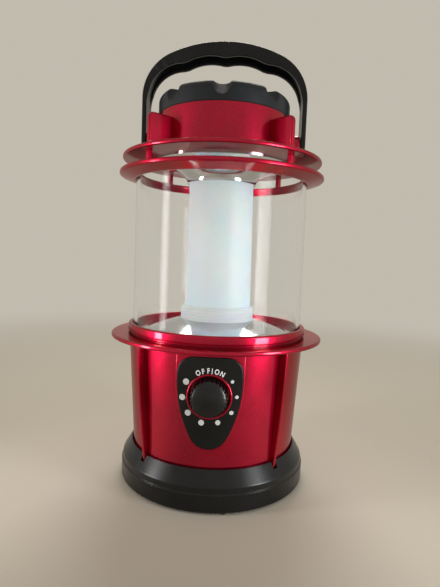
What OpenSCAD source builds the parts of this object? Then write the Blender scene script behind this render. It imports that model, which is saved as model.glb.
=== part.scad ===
// Camping lantern with three D cells: a red body on a black base, a clear globe round a
// frosted light tube, a ringed top with four fins, and a black carrying handle.
// Millimetres. +Z is up, the front with the dimmer knob faces -Y, and the origin is the
// middle of the floor under the feet. An azimuth is counted from the front towards +X.

/* [Base] */
// Reach of the base's skirt beyond the body's foot
base_reach = 5.8; // [5.3:0.1:8]
// Height of the base from the floor to its top edge
base_h = 18.9; // [17:0.1:22]
// Height of the crease where the upright skirt turns into the shoulder
base_skirt_h = 9.2; // [8.4:0.1:10.4]
// Wall thickness of the base
base_wall = 2.2; // [1.6:0.1:2.6]
// Height that the rubber feet lift the base off the floor
foot_show = 0.8; // [0.4:0.1:1.4]
// Radius of a rubber foot
foot_r = 2.4; // [1.8:0.1:2.8]
// Depth that a rubber foot is let into the base
foot_sink = 1; // [0.6:0.1:1.6]

/* [Battery door] */
// Thickness of the door's disc
door_t = 3.2; // [2.8:0.1:4]
// Height that the door lies inside the base's rim
door_recess = 0.8; // [0.4:0.1:1.2]
// Angle that the door turns between locked and free
door_turn = 40; // [30:1:44]
// Angle that one lug of the door spans
lug_span = 16; // [10:1:18]
// Radial reach of a lug under its ledge
lug_reach = 1.9; // [1.2:0.1:2.2]
// Height of a lug above the door's disc
lug_rise = 1.4; // [1:0.1:2]
// Length of the coin slot in the door
coin_slot_l = 24; // [18:1:30]
// Width of the coin slot
coin_slot_w = 2.4; // [2:0.1:3]
// Section diameter of the door's seal ring
seal_d = 1.2; // [0.9:0.1:1.4]

/* [Batteries] */
// Diameter of a D cell
cell_d = 34.2; // [33:0.1:34.4]
// Length of a D cell with its nub
cell_l = 61.5; // [60:0.1:63]
// Diameter of a cell's nub
nub_d = 9.4; // [8:0.1:10]
// Height of a cell's nub
nub_h = 1.5; // [1:0.1:2]
// Wall thickness of the battery cage's sleeves
sleeve_wall = 1; // [0.8:0.1:1.1]
// Thickness of the battery cage's top plate
cage_plate_t = 1.6; // [1.4:0.1:2.4]
// Height of a pressed contact spring
spring_h = 3.5; // [3:0.1:5]
// Wire diameter of a contact spring
spring_wire_d = 0.9; // [0.7:0.1:1.1]

/* [Body] */
// Gap between the battery cage and the body's wall at its foot
body_gap = 0.15; // [0.1:0.05:1]
// Radius that the body loses for each millimetre of height
body_draft = 0.06; // [0.05:0.005:0.065]
// Wall thickness of the body
body_wall = 2; // [1.6:0.1:2.1]
// Reach of the flange beyond the body
flange_reach = 9.1; // [6:0.1:13]
// Thickness of the flange
flange_t = 2; // [1.6:0.1:2.6]
// Height of the groove between the flange and the globe's collar
neck_h = 1; // [0.6:0.1:2]
// Thickness of the deck that closes the body
deck_t = 2.3; // [2:0.1:3]
// Thickness of a rib on the body
rib_t = 1.9; // [1.4:0.1:2.6]
// Reach of a rib beyond the body just under the flange
rib_reach = 3.9; // [3:0.1:5]
// Reach of a rib beyond the body at its foot
rib_foot_reach = 1.8; // [1:0.1:2.4]
// Rise of a rib's curved edge over a straight one
rib_bulge = 0.9; // [0:0.1:1.4]

/* [Control panel] */
// Height that the panel's boss stands over the body
boss_proud = 1; // [0.9:0.1:1.5]
// Width of the panel
panel_w = 29.2; // [28:0.1:31]
// Radius of the panel's long curved sides
panel_side_r = 56; // [54:0.5:60]
// Radius of the panel's upper corners
panel_corner_r = 7.5; // [6:0.1:9]
// Radius of the panel's rounded foot
panel_tip_r = 9.2; // [8.8:0.1:10]
// Height from the panel's widest place to its top edge
panel_wide_drop = 9.8; // [9:0.1:11]
// Gap between the flange and the panel's top edge
panel_top_gap = 2.2; // [1.4:0.1:3]
// Depth of the pocket that holds the panel
panel_sink = 1; // [0.6:0.1:1.2]
// Height that the panel stands out of its pocket
panel_proud = 0.2; // [0.1:0.1:0.6]
// Width of the red rim round the panel
panel_rim = 0.8; // [0.5:0.1:1.5]

/* [Dimmer] */
// Height of the knob's axis under the flange
knob_drop = 19.5; // [19:0.1:21]
// Radius of the knob over its flutes
knob_r = 8.1; // [7.4:0.1:8.4]
// Radius of the knob's domed face
knob_face_r = 7; // [6:0.1:7.2]
// Length of the knob along its axis
knob_l = 11; // [10:0.1:13]
// Number of flutes on the knob
knob_flutes = 26; // [18:1:32]
// Inner radius of the well round the knob
well_r = 9; // [8.8:0.1:9.4]
// Wall thickness of the well
well_wall = 1.1; // [0.8:0.1:1.4]
// Depth of the well's floor behind the boss's face
well_depth = 4.7; // [4.5:0.1:5.2]
// Height that the well's rim stands over the boss
well_proud = 0.6; // [0.3:0.1:1]
// Radius of the dimmer's shaft
shaft_r = 3; // [2.5:0.1:3.1]
// Radius of the dimmer's housing
dimmer_r = 8; // [7:0.1:8.5]
// Depth of the dimmer's housing
dimmer_depth = 7.6; // [6:0.1:8]
// Turn of the knob from off to full light
knob_turn = 300; // [270:1:320]

/* [Driver board] */
// Width of the driver board
board_w = 26; // [22:0.5:27]
// Height of the driver board
board_h = 34; // [32:0.5:36]
// Thickness of the driver board
board_t = 1.6; // [1.2:0.1:2]

/* [Globe] */
// Distance that the globe stands inside the body's radius
globe_inset = 1.6; // [1.1:0.1:1.9]
// Wall thickness of the globe
globe_wall = 1.8; // [1.4:0.1:2.4]
// Height of the globe
globe_h = 77.3; // [72:0.1:90]
// Thickness of the gasket under the globe
gasket_t = 0.8; // [0.5:0.1:1.2]
// Height of the collar that holds the globe
collar_h = 3.9; // [3:0.1:6]
// Wall thickness of the collar
collar_wall = 2.2; // [1.6:0.1:2.6]

/* [Light tube] */
// Outer radius of the frosted tube at its foot
tube_low_r = 17.4; // [17:0.1:17.6]
// Outer radius of the frosted tube at its top
tube_top_r = 16.35; // [15.5:0.05:16.9]
// Wall thickness of the frosted tube
tube_wall = 1.4; // [1:0.1:1.6]
// Outer radius of the stepped ring round the tube's foot
tube_ring_r = 18.9; // [18.5:0.1:20]
// Height of the stepped ring
tube_ring_h = 7; // [5:0.1:9]
// Depth that the tube's top enters the upper reflector
tube_entry = 2.6; // [2:0.1:3.5]
// Thickness of the reflectors
reflector_t = 1; // [0.8:0.1:1.2]
// Height of the lower reflector's cone over the deck
cone_h = 6; // [5:0.1:7]
// Height from the upper reflector's neck to ring A's underside
upper_reflector_h = 9.9; // [9:0.1:12]
// Thickness of the heat sink's flange
sink_flange_t = 2.2; // [2:0.1:3]
// Height of the heat sink's puck over its flange
sink_puck_h = 5.8; // [5:0.1:8]
// Thickness of the LED board
led_board_t = 1.6; // [1:0.1:2]
// Number of LEDs
led_count = 4; // [3:1:6]

/* [Top rings] */
// Reach of the lower ring beyond the globe
ring_b_reach = 8.2; // [6:0.1:11]
// Thickness of the lower ring at its rim
ring_b_t = 2.1; // [1.6:0.1:3]
// Height of the sloping lip under the lower ring
ring_b_lip = 2; // [1:0.1:3]
// Reach of the upper ring beyond the globe
ring_a_reach = 6.8; // [5:0.1:10]
// Thickness of the upper ring
ring_a_t = 2; // [1.6:0.1:3]
// Height of the gap between the rings
ring_gap = 5.7; // [4.5:0.1:8]
// Radial depth of the posts between the rings
post_depth = 2.4; // [2:0.1:4]
// Side of the square peg that seats a post in the lower ring
peg_side = 1.4; // [1:0.1:1.6]

/* [Drum and cap] */
// Radius of the drum at its top
drum_r = 33; // [32:0.1:33.6]
// Radius that the drum gains towards its foot
drum_flare = 0.6; // [0:0.1:0.8]
// Height of the drum over the upper ring
drum_h = 20.1; // [18:0.1:24]
// Wall thickness of the drum
drum_wall = 2; // [1.6:0.1:2.6]
// Width of the step round the drum's foot
drum_step_w = 2; // [1:0.1:2.4]
// Height of the step round the drum's foot
drum_step_h = 1.4; // [0.6:0.1:2.2]
// Distance of the fins' ends inside the upper ring's rim
fin_inset = 4.3; // [4.2:0.1:8]
// Height of the fins over the upper ring
fin_h = 15; // [11:0.1:16.5]
// Thickness of a fin
fin_t = 2.5; // [1.8:0.1:2.6]
// Radius of a fin's outer upper corner
fin_corner_r = 2.6; // [1:0.1:4]
// Height of the black cap over the drum
cap_h = 9.5; // [8:0.1:12]
// Radius of the cap's rounded top edge
cap_edge_r = 3.4; // [2:0.1:4]
// Number of finger scoops round the cap
scoop_count = 8; // [6:1:10]
// Radius of one finger scoop
scoop_r = 4.4; // [3:0.1:5]
// Depth of a scoop measured at the cap's edge
scoop_depth = 3.6; // [2.4:0.1:3.6]

/* [Handle] */
// Width of the handle's strap
handle_w = 13; // [11:0.5:14]
// Thickness of the handle's strap
handle_t = 2.2; // [1.8:0.1:2.4]
// Gap between the step round the drum and the handle's arms
handle_clear = 3.2; // [3:0.1:4.2]
// Height from the pivot to the top of the handle
handle_rise = 49.6; // [48:0.1:56]
// Radius of the handle's long top curve
handle_top_r = 65; // [60:1:75]
// Radius of the handle's outer corners
handle_corner_r = 23.8; // [22:0.1:25]
// Depth of the grip at its middle
grip_depth = 7.5; // [7:0.1:8.5]
// Radius of the grip's long underside curve
grip_top_r = 76; // [70:1:90]
// Radius of the grip's inner corners
grip_corner_r = 20; // [19:0.1:21]
// Thickness of the grip's side lips
grip_lip_t = 2; // [1.6:0.1:3]
// Distance between two finger hollows
finger_pitch = 20; // [19:0.1:21]
// Depth of a finger hollow
finger_depth = 1.2; // [0.6:0.1:1.4]
// Radius of the two middle finger hollows
finger_r = 24; // [22:1:30]
// Radius of the two outer finger hollows
outer_finger_r = 17; // [15:0.5:18]
// Radius of a handle pin's shank
pin_r = 2; // [1.6:0.1:2.4]
// Radius of a handle pin's countersunk head
pin_head_r = 3.6; // [3.2:0.1:4.2]
// Thickness of a handle pin's head
pin_head_t = 1.2; // [1:0.1:1.4]

/* [Fasteners and wires] */
// Radius of a screw's shank
screw_r = 1.2; // [1:0.1:1.4]
// Radius of a screw's head
screw_head_r = 2.4; // [2:0.1:2.6]
// Height of a screw's head
screw_head_h = 1.6; // [1.2:0.1:1.8]
// Radius of a wire
wire_r = 0.5; // [0.4:0.05:0.6]

/* [Clearances] */
// Radial clearance of a turning fit
turn_play = 0.08; // [0.05:0.01:0.1]
// Clearance between a moving piece and its neighbour
move_gap = 0.4; // [0.3:0.05:0.5]
// Clearance of a piece that is seated and stays put
seat_gap = 0.15; // [0.1:0.05:0.2]

/* [Hidden] */
$fn = 96;
eps = 0.01;
curve_steps = 24;

// Batteries stand in a triangle with its gap to the front, and the door spans them all.
cell_bore_r = cell_d / 2 + 2 * seat_gap;
cell_web = 0.8;
cell_ring_r = (cell_bore_r + cell_web / 2) / sin(60);
cage_r = cell_ring_r + cell_bore_r + sleeve_wall;
cell_azimuths = [60, 180, 300];
gap_azimuths = [0, 120, 240];
door_r = cell_ring_r + cell_d / 2 + 0.85;
lip_r = door_r + move_gap;
lug_r = lip_r + lug_reach;
channel_r = lug_r + move_gap;
channel_wall = 1.6;

// Heights from the floor up, each stacked on the piece that carries it.
z_rim = foot_show;
z_door = z_rim + door_recess;
z_door_top = z_door + door_t;
lug_root_h = 0.4;
z_lug = z_door_top - lug_root_h;
z_lip_top = z_lug - 0.2;
z_tab = z_door_top + lug_rise + 1;
tab_t = 2;
z_seat = z_tab + tab_t;
z_disc = z_door_top + 0.3;
disc_t = 1.2;
z_spring = z_disc + disc_t;
z_cell = z_spring + spring_h;
z_cell_top = z_cell + cell_l;
contact_t = 0.4;
z_plate = z_cell_top + contact_t;
z_plate_top = z_plate + cage_plate_t;
z_deck = z_plate_top + deck_t;
z_flange_top = z_deck - neck_h;
z_flange = z_flange_top - flange_t;
z_globe = z_deck + gasket_t;
z_globe_top = z_globe + globe_h;
ring_b_cover_t = 0.9;
z_ring_b_top = z_globe_top + ring_b_cover_t;
z_ring_a = z_ring_b_top + ring_gap;
z_ring_a_top = z_ring_a + ring_a_t;
z_ring_b = z_ring_b_top - ring_b_t;
z_drum_top = z_ring_a_top + drum_h;
z_cap_top = z_drum_top + cap_h;

// Main radii, each standing on the one inside it
body_r = cage_r + body_gap + body_wall + body_draft * (z_flange - z_seat);
flange_r = body_r + flange_reach;
boss_r = body_r + boss_proud;
base_r = body_radius(base_h) + base_reach;
globe_r = body_r - globe_inset;
ring_b_r = globe_r + ring_b_reach;
ring_a_r = globe_r + ring_a_reach;
fin_r = ring_a_r - fin_inset;

// Base
base_chamfer = 0.8;
base_bead_r = base_r - 0.45;
shoulder_r = base_r - 1.2;
z_shoulder = base_skirt_h + 3.5;
base_mouth_r = body_radius(base_h) + move_gap;
base_top_r = base_mouth_r + 0.7;
slot_w = rib_t + 2 * move_gap;
z_rib_foot = base_h - 6.4;
slot_out_r = body_radius(z_rib_foot) + rib_foot_reach + 2.2;
slot_in_r = body_radius(z_rib_foot) - 0.6;
foot_ring_r = (lip_r + base_r) / 2 + 0.9;
foot_count = 6;
tab_w = 9;
base_screw_bite = 8;
tab_screw_r = lip_r - 5;
tab_in_r = tab_screw_r - 3.6;

// Body
neck_r = body_r - 0.5;
rib_azimuths = [45, 135, 225, 315];
housing_post_r = 3.6;
housing_post_h = 15;
cage_screw_ring_r = 35;
lead_contact = [cell_ring_r * sin(60) * 0.8, -cell_ring_r * cos(60) - 3];
lead_groove_w = 2 * wire_r + 0.4;
z_lead_groove = z_plate_top - 2 * wire_r - 0.2;
deck_hole_r = 16.8;
lead_hole_r = 2.8;
cage_hole_r = 1.4;

// Panel and dimmer
panel_in_r = boss_r - panel_sink;
z_panel_top = z_flange - panel_top_gap;
z_panel_wide = z_panel_top - panel_wide_drop;
z_knob = z_flange - knob_drop;
well_floor_y = boss_r - well_depth;
well_floor_t = 2;
well_rim_y = boss_r + well_proud;
bushing_r = 3.5;
washer_t = 0.5;
washer_r = 5.6;
nut_af = 10;
nut_t = 2;
knob_back_y = well_floor_y + move_gap;
knob_front_y = knob_back_y + knob_l;
knob_shell = 1.4;
knob_dome = 0.8;
knob_top_t = 2.4;
flute_r = 0.55;
hub_r = shaft_r + 1.2;
hub_clear = 0.6;
bushing_front_y = well_floor_y + washer_t + nut_t + 0.4;
shaft_front_y = knob_front_y - knob_top_t;
dimmer_front_y = well_floor_y - well_floor_t;
board_front_y = dimmer_front_y - dimmer_depth;
board_back_y = board_t - board_front_y;
lead_hole_y = board_back_y + wire_r;
z_board = z_knob - 19;
z_lead_end = z_board + board_h - 3.5;
battery_lead_x = 0.7 + 1.3 * wire_r;
battery_lead_y = lead_hole_y + 2.6 * wire_r;

// Light column
globe_in_r = globe_r - globe_wall;
collar_in_r = globe_r + seat_gap;
collar_r = collar_in_r + collar_wall;
sink_flange_r = 20;
z_sink_top = z_deck + sink_flange_t;
z_led_board = z_sink_top + sink_puck_h;
tube_in_r = tube_low_r - tube_wall;
puck_r = tube_in_r - 2 * seat_gap;
led_board_r = puck_r - 1;
z_tube = z_sink_top;
z_neck = z_ring_a - upper_reflector_h;
z_tube_top = z_neck + tube_entry;
z_cone_top = z_deck + cone_h;
reflector_hole_r = tube_low_r + 2 * seat_gap;
neck_bore_r = tube_top_r + seat_gap;
neck_wall = 1.1;
led_ring_r = 6;
led_side = 3.4;
led_h = 1;
led_dome_r = 1.45;
lead_drop_r = 9;
led_screw_x = 10;

// Top
drum_foot_r = drum_r + drum_flare;
flare_r = drum_foot_r + 0.9;
flare_rim_t = 0.6;
cap_spigot_r = drum_r - drum_wall - seat_gap;
cap_spigot_h = 3;
cap_wall = 2;
cap_screw_ring_r = 20;
cap_screw_bite = 7;
cap_post_r = 3.4;
post_in_r = globe_r + 0.3;
post_r = post_in_r + post_depth;
peg_r_pos = (post_in_r + post_r) / 2;
peg_h = 1.5;
ear_gap = 0.4;
handle_half = drum_foot_r + drum_step_w + handle_clear + handle_t;
ear_face_x = handle_half - handle_t - ear_gap;
ear_root_x = drum_r - drum_wall;
ear_r = handle_w / 2;
z_pivot = z_ring_a_top + handle_w / 2 + 0.8;

// ---- shared functions and shapes ----

// The part of a battery lead that both share: along the groove, down and to the board.
function lead_tail(x, y, z_run) = [
    [x, y, z_run],
    [x, battery_lead_y, z_run],
    [x, battery_lead_y, z_lead_end],
    [x, lead_hole_y, z_lead_end]
];

// Outer radius of the tapered body at height z.
function body_radius(z) = body_r - body_draft * (z_flange - z);

// Points on an arc round c from angle a0 to a1.
function arc_points(c, r, a0, a1, n = curve_steps) =
    [for (i = [0 : n]) let(a = a0 + (a1 - a0) * i / n) [c[0] + r * cos(a), c[1] + r * sin(a)]];

// Points from p to q along a shallow curve that rises by bulge at its middle.
function bulged_line(p, q, bulge, n = curve_steps) =
    let(d = q - p, side = [d[1], -d[0]] / norm(d))
    [for (i = [0 : n]) let(t = i / n) p + t * d + 4 * bulge * t * (1 - t) * side];

// The points of a list mirrored across x = 0, in reverse order.
function mirrored(points) = [for (i = [len(points) - 1 : -1 : 0]) [-points[i][0], points[i][1]]];

// A flat ring from radius r_in to r_out, standing on height z.
module ring(r_out, r_in, z, h) {
    translate([0, 0, z])
        rotate_extrude()
            translate([r_in, 0])
                square([r_out - r_in, h]);
}

// A disc standing on height z.
module disc(r, z, h) {
    translate([0, 0, z])
        cylinder(r = r, h = h);
}

// Copies of a child that is drawn at the front, turned to each azimuth.
module at_azimuths(azimuths) {
    for (azimuth = azimuths)
        rotate(azimuth)
            children();
}

// A cylinder along -Y, from depth y0 to y1 in front of the axis.
module forward_cylinder(r, y0, y1) {
    translate([0, -y0, z_knob])
        rotate([90, 0, 0])
            cylinder(r = r, h = y1 - y0);
}

// A flat outline in x and z, extruded along -Y from depth y0 to y1.
module forward_extrude(y0, y1) {
    translate([0, -y0, 0])
        rotate([90, 0, 0])
            linear_extrude(height = y1 - y0)
                children();
}

// A pan-head screw with its head's underside at z = 0, pointing up.
module screw(shank_l) {
    cylinder(r = screw_r, h = shank_l);
    translate([0, 0, -screw_head_h])
        difference() {
            cylinder(r = screw_head_r, h = screw_head_h);
            for (a = [0, 90])
                rotate(a)
                    translate([-screw_head_r * 0.6, -0.3, -eps])
                        cube([screw_head_r * 1.2, 0.6, 0.7]);
        }
}

// A round wire through a list of points.
module wire(points) {
    for (i = [0 : len(points) - 2]) {
        d = points[i + 1] - points[i];
        run = norm(d);
        translate(points[i])
            rotate([0, acos(d[2] / run), atan2(d[1], d[0])])
                cylinder(r = wire_r, h = run, $fn = 24);
        if (i > 0)
            translate(points[i])
                sphere(r = wire_r, $fn = 24);
    }
}

// ---- base and battery door ----

// Section of the base: skirt, shoulder, lip for the door and the lugs' channel.
module base_section() {
    inner_r = base_r - base_wall;
    polygon([
        [lip_r, z_rim],
        [base_r - base_chamfer, z_rim],
        [base_r, z_rim + base_chamfer],
        [base_r, base_skirt_h],
        [base_bead_r, base_skirt_h + 0.3],
        [base_bead_r - 0.1, z_shoulder - 1],
        [shoulder_r, z_shoulder],
        [base_top_r, base_h],
        [base_mouth_r, base_h],
        [base_mouth_r, base_h - base_wall],
        [inner_r - 0.8, z_shoulder - base_wall * 0.7],
        [inner_r, base_skirt_h - 0.4],
        [inner_r, z_lip_top],
        [channel_r + channel_wall, z_lip_top],
        [channel_r + channel_wall, z_seat],
        [channel_r, z_seat],
        [channel_r, z_lip_top],
        [lip_r, z_lip_top]
    ]);
}

// An arc-shaped block between two radii, centred on the front.
module arc_block(r_out, r_in, span, z, h) {
    translate([0, 0, z])
        rotate(-90 - span / 2)
            rotate_extrude(angle = span)
                translate([r_in, 0])
                    square([r_out - r_in, h]);
}

// Black base with slots for the ribs and three tabs that the body is screwed to.
module base_shell() {
    color("#1c1c1e")
    difference() {
        union() {
            rotate_extrude()
                base_section();
            at_azimuths(gap_azimuths)
                intersection() {
                    translate([-tab_w / 2, -channel_r - channel_wall / 2, z_tab])
                        cube([tab_w, channel_r + channel_wall / 2 - tab_in_r, tab_t]);
                    disc(channel_r + channel_wall / 2, z_tab, tab_t);
                }
        }
        at_azimuths(rib_azimuths)
            translate([-slot_w / 2, -slot_out_r, z_rib_foot - move_gap])
                cube([slot_w, slot_out_r - slot_in_r, base_h]);
        at_azimuths([for (a = cell_azimuths) a + door_turn])
            arc_block(lug_r + move_gap, lip_r - 1, lug_span + 4, z_rim - 1, z_lip_top - z_rim + 2);
        for (i = [0 : foot_count - 1])
            rotate(door_turn + 30 + i * 360 / foot_count)
                translate([0, -foot_ring_r, z_rim - eps])
                    cylinder(r = foot_r + 0.05, h = foot_sink + eps);
        at_azimuths(gap_azimuths)
            translate([0, -tab_screw_r, z_tab - 1])
                cylinder(r = screw_r + seat_gap, h = tab_t + 2);
    }
}

// Rubber feet let into the base's rim.
module rubber_feet() {
    color("#2a2a2a")
    for (i = [0 : foot_count - 1])
        rotate(door_turn + 30 + i * 360 / foot_count)
            translate([0, -foot_ring_r, 0])
                cylinder(r = foot_r, h = foot_show + foot_sink);
}

// Twist-lock battery door with a coin slot, three lugs and a groove for its seal.
module battery_door() {
    color("#242426")
    difference() {
        union() {
            disc(door_r, z_door, door_t);
            at_azimuths(cell_azimuths)
                arc_block(lug_r, door_r - 1.4, lug_span, z_lug, lug_root_h + lug_rise);
        }
        ring(door_r + 1, door_r - seal_d, z_door + 0.8, seal_d + 0.1);
        translate([-coin_slot_l / 2, -coin_slot_w / 2, z_door - eps])
            cube([coin_slot_l, coin_slot_w, 1.4]);
        disc(2, z_door + 1.8, door_t);
    }
}

// Seal ring in the door's groove.
module door_seal() {
    color("#333333")
    translate([0, 0, z_door + 0.85 + seal_d / 2])
        rotate_extrude()
            translate([door_r - seal_d / 2 + 0.25, 0])
                circle(r = seal_d / 2, $fn = 32);
}

// Rivet that holds the contact disc on the door and lets it turn.
module door_rivet() {
    color("#c9b26b")
    union() {
        disc(2, z_door + 1.8, z_spring + 0.3 - z_door - 1.8);
        disc(3.4, z_spring + 0.3, 1);
    }
}

// Plastic disc that carries the lower contacts and stays put while the door turns.
module contact_disc() {
    color("#3b3b3d")
    difference() {
        disc(cell_ring_r + 9, z_disc, disc_t);
        disc(2 + turn_play, z_disc - 1, disc_t + 2);
    }
}

// One contact spring as a wire swept along a tapering coil.
module contact_spring() {
    turns = 2.5;
    sides = 8;
    rings = 50;
    wide_r = 7;
    narrow_r = 4.6;
    wire = spring_wire_d / 2;
    rise = spring_h - spring_wire_d;
    function coil_r(t) = wide_r + (narrow_r - wide_r) * t;
    points = [for (i = [0 : rings]) for (j = [0 : sides - 1])
        let(t = i / rings, turn = 360 * turns * t, a = 360 * j / sides,
            r = coil_r(t) + wire * cos(a))
        [r * cos(turn), r * sin(turn), wire + rise * t + wire * sin(a)]];
    walls = [for (i = [0 : rings - 1]) for (j = [0 : sides - 1])
        let(k = (j + 1) % sides)
        [i * sides + j, i * sides + k, (i + 1) * sides + k, (i + 1) * sides + j]];
    caps = [[for (j = [sides - 1 : -1 : 0]) j], [for (j = [0 : sides - 1]) rings * sides + j]];
    polyhedron(points = points, faces = concat(walls, caps), convexity = 6);
}

// Three contact springs under the cells.
module contact_springs() {
    color("#d8d8d8")
    at_azimuths(cell_azimuths)
        translate([0, -cell_ring_r, z_spring])
            contact_spring();
}

// Screws through the base's tabs into the body.
module base_screws() {
    color("#b8bbc0")
    at_azimuths(gap_azimuths)
        translate([0, -tab_screw_r, z_tab])
            screw(tab_t + base_screw_bite);
}

// ---- batteries ----

// Outline of the three sleeves, joined about the axis.
module sleeve_outline() {
    difference() {
        union() {
            at_azimuths(cell_azimuths)
                translate([0, -cell_ring_r])
                    circle(r = cell_bore_r + sleeve_wall);
            circle(r = cell_ring_r / 2);
        }
        at_azimuths(cell_azimuths)
            translate([0, -cell_ring_r])
                circle(r = cell_bore_r);
    }
}

// Three sleeves under one plate that is screwed to the body's deck.
module battery_cage() {
    z_low = z_cell + 1.2;
    plate_r = cage_r - 0.4;
    color("#4a4c4f")
    difference() {
        union() {
            translate([0, 0, z_low])
                linear_extrude(z_plate + eps - z_low)
                    sleeve_outline();
            disc(plate_r, z_plate, cage_plate_t);
        }
        at_azimuths(cell_azimuths)
            translate([-6, -cage_r - 1, z_cell + 12])
                cube([12, 6, cell_l - 24]);
        at_azimuths(gap_azimuths)
            translate([0, -cage_screw_ring_r, z_plate - 1])
                cylinder(r = screw_r + seat_gap, h = cage_plate_t + 2);
        translate([0, lead_hole_y, z_plate - 1])
            cylinder(r = lead_hole_r, h = cage_plate_t + 2);
        lead_groove([0, 0], [-battery_lead_x, 0]);
        lead_groove([-battery_lead_x, 0], [-battery_lead_x, battery_lead_y]);
        lead_groove(lead_contact, [battery_lead_x, lead_contact[1]]);
        lead_groove([battery_lead_x, lead_contact[1]], [battery_lead_x, battery_lead_y]);
        translate([lead_contact[0], lead_contact[1], z_plate - 1])
            cylinder(r = wire_r + seat_gap, h = cage_plate_t);
        disc(cage_hole_r, z_low - 1, z_plate_top - z_low + 2);
    }
}
// A groove in the top of the cage's plate from p to q.
module lead_groove(p, q) {
    d = q - p;
    translate([p[0], p[1], z_lead_groove])
        rotate(atan2(d[1], d[0]))
            translate([-lead_groove_w / 2, -lead_groove_w / 2, 0])
                cube([norm(d) + lead_groove_w, lead_groove_w, 2 * wire_r + 1]);
}

// Screws through the cage's plate into the deck.
module cage_screws() {
    color("#b8bbc0")
    at_azimuths(gap_azimuths)
        translate([0, -cage_screw_ring_r, z_plate])
            screw(cage_plate_t + deck_t - 0.5);
}

// One D cell standing on z_cell, nub up.
module cell() {
    can_l = cell_l - nub_h;
    difference() {
        union() {
            cylinder(r = cell_d / 2, h = can_l);
            cylinder(r = nub_d / 2, h = cell_l);
        }
        translate([0, 0, can_l - 0.5])
            ring(cell_d / 2 - 1.2, nub_d / 2 + 2.4, 0, 1);
    }
}

module battery_right() {
    color("#3a5f8a")
    rotate(cell_azimuths[0])
        translate([0, -cell_ring_r, z_cell])
            cell();
}

module battery_rear() {
    color("#3a5f8a")
    rotate(cell_azimuths[1])
        translate([0, -cell_ring_r, z_cell_top])
            mirror([0, 0, 1])
                cell();
}

module battery_left() {
    color("#3a5f8a")
    rotate(cell_azimuths[2])
        translate([0, -cell_ring_r, z_cell])
            cell();
}

// Contact plates between the cells and the cage's plate.
module contact_plates() {
    color("#d0c08a")
    at_azimuths(cell_azimuths)
        translate([0, -cell_ring_r, z_cell_top])
            cylinder(r = 7, h = contact_t);
}

// Brass strip that brings the lower contacts' current up the middle of the cage.
module return_strip() {
    color("#c9a24b")
    disc(0.9, z_spring + 1.6, z_lead_groove - z_spring - 1.6);
}

// ---- body ----

// Outline of the control panel in x and z, grown by m on every side.
module panel_outline(m) {
    half = panel_w / 2;
    side_c = [half - panel_side_r, z_panel_wide];
    corner_c = [
        side_c[0] + sqrt(pow(panel_side_r - panel_corner_r, 2)
            - pow(z_panel_top - panel_corner_r - z_panel_wide, 2)),
        z_panel_top - panel_corner_r
    ];
    tip_c = [0, z_panel_wide - sqrt(pow(panel_side_r - panel_tip_r, 2) - pow(side_c[0], 2))];
    upper_a = atan2(corner_c[1] - side_c[1], corner_c[0] - side_c[0]);
    lower_a = atan2(tip_c[1] - side_c[1], tip_c[0] - side_c[0]);
    right = concat(
        arc_points(corner_c, panel_corner_r + m, 90, upper_a, 12),
        arc_points(side_c, panel_side_r + m, upper_a, lower_a, 24),
        arc_points(tip_c, panel_tip_r + m, lower_a, -90, 16)
    );
    polygon(concat(right, mirrored(right)));
}

// Boss outline: the panel's outline with straight sides up to the flange.
module boss_outline() {
    side = panel_w / 2 + panel_rim;
    panel_outline(panel_rim);
    translate([-side, z_panel_wide])
        square([2 * side, z_flange - z_panel_wide + 0.5]);
}

// Section of the red body with its flange and deck.
module body_section() {
    polygon([
        [body_radius(z_seat) - body_wall, z_seat],
        [body_radius(z_seat), z_seat],
        [body_r, z_flange],
        [flange_r - 0.5, z_flange],
        [flange_r, z_flange + 0.5],
        [flange_r, z_flange_top - 0.6],
        [flange_r - 0.6, z_flange_top],
        [neck_r, z_flange_top],
        [neck_r, z_deck],
        [deck_hole_r, z_deck],
        [deck_hole_r, z_plate_top],
        [body_radius(z_plate_top) - body_wall, z_plate_top]
    ]);
}

// One rib, standing on the front of the tapered body.
module body_rib() {
    foot = [body_radius(z_rib_foot) + rib_foot_reach, z_rib_foot];
    head = [body_r + rib_reach, z_flange + 0.2];
    edge = bulged_line(foot, head, rib_bulge);
    root = [[body_r - 1, z_flange + 0.2], [body_radius(z_rib_foot) - 1, z_rib_foot]];
    rotate(-90)
        rotate([90, 0, 0])
            translate([0, 0, -rib_t / 2])
                linear_extrude(height = rib_t)
                    polygon(concat(edge, root));
}

// Post under the body that a base screw bites into, with a web to the wall.
module housing_post() {
    wall_r = body_radius(z_seat) - body_wall / 2;
    difference() {
        union() {
            translate([0, -tab_screw_r, z_seat])
                cylinder(r = housing_post_r, h = housing_post_h);
            translate([-1.2, -wall_r, z_seat])
                cube([2.4, wall_r - tab_screw_r, housing_post_h]);
        }
        translate([0, -tab_screw_r, z_seat - eps])
            cylinder(r = screw_r + 0.02, h = base_screw_bite + 1);
    }
}

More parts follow.
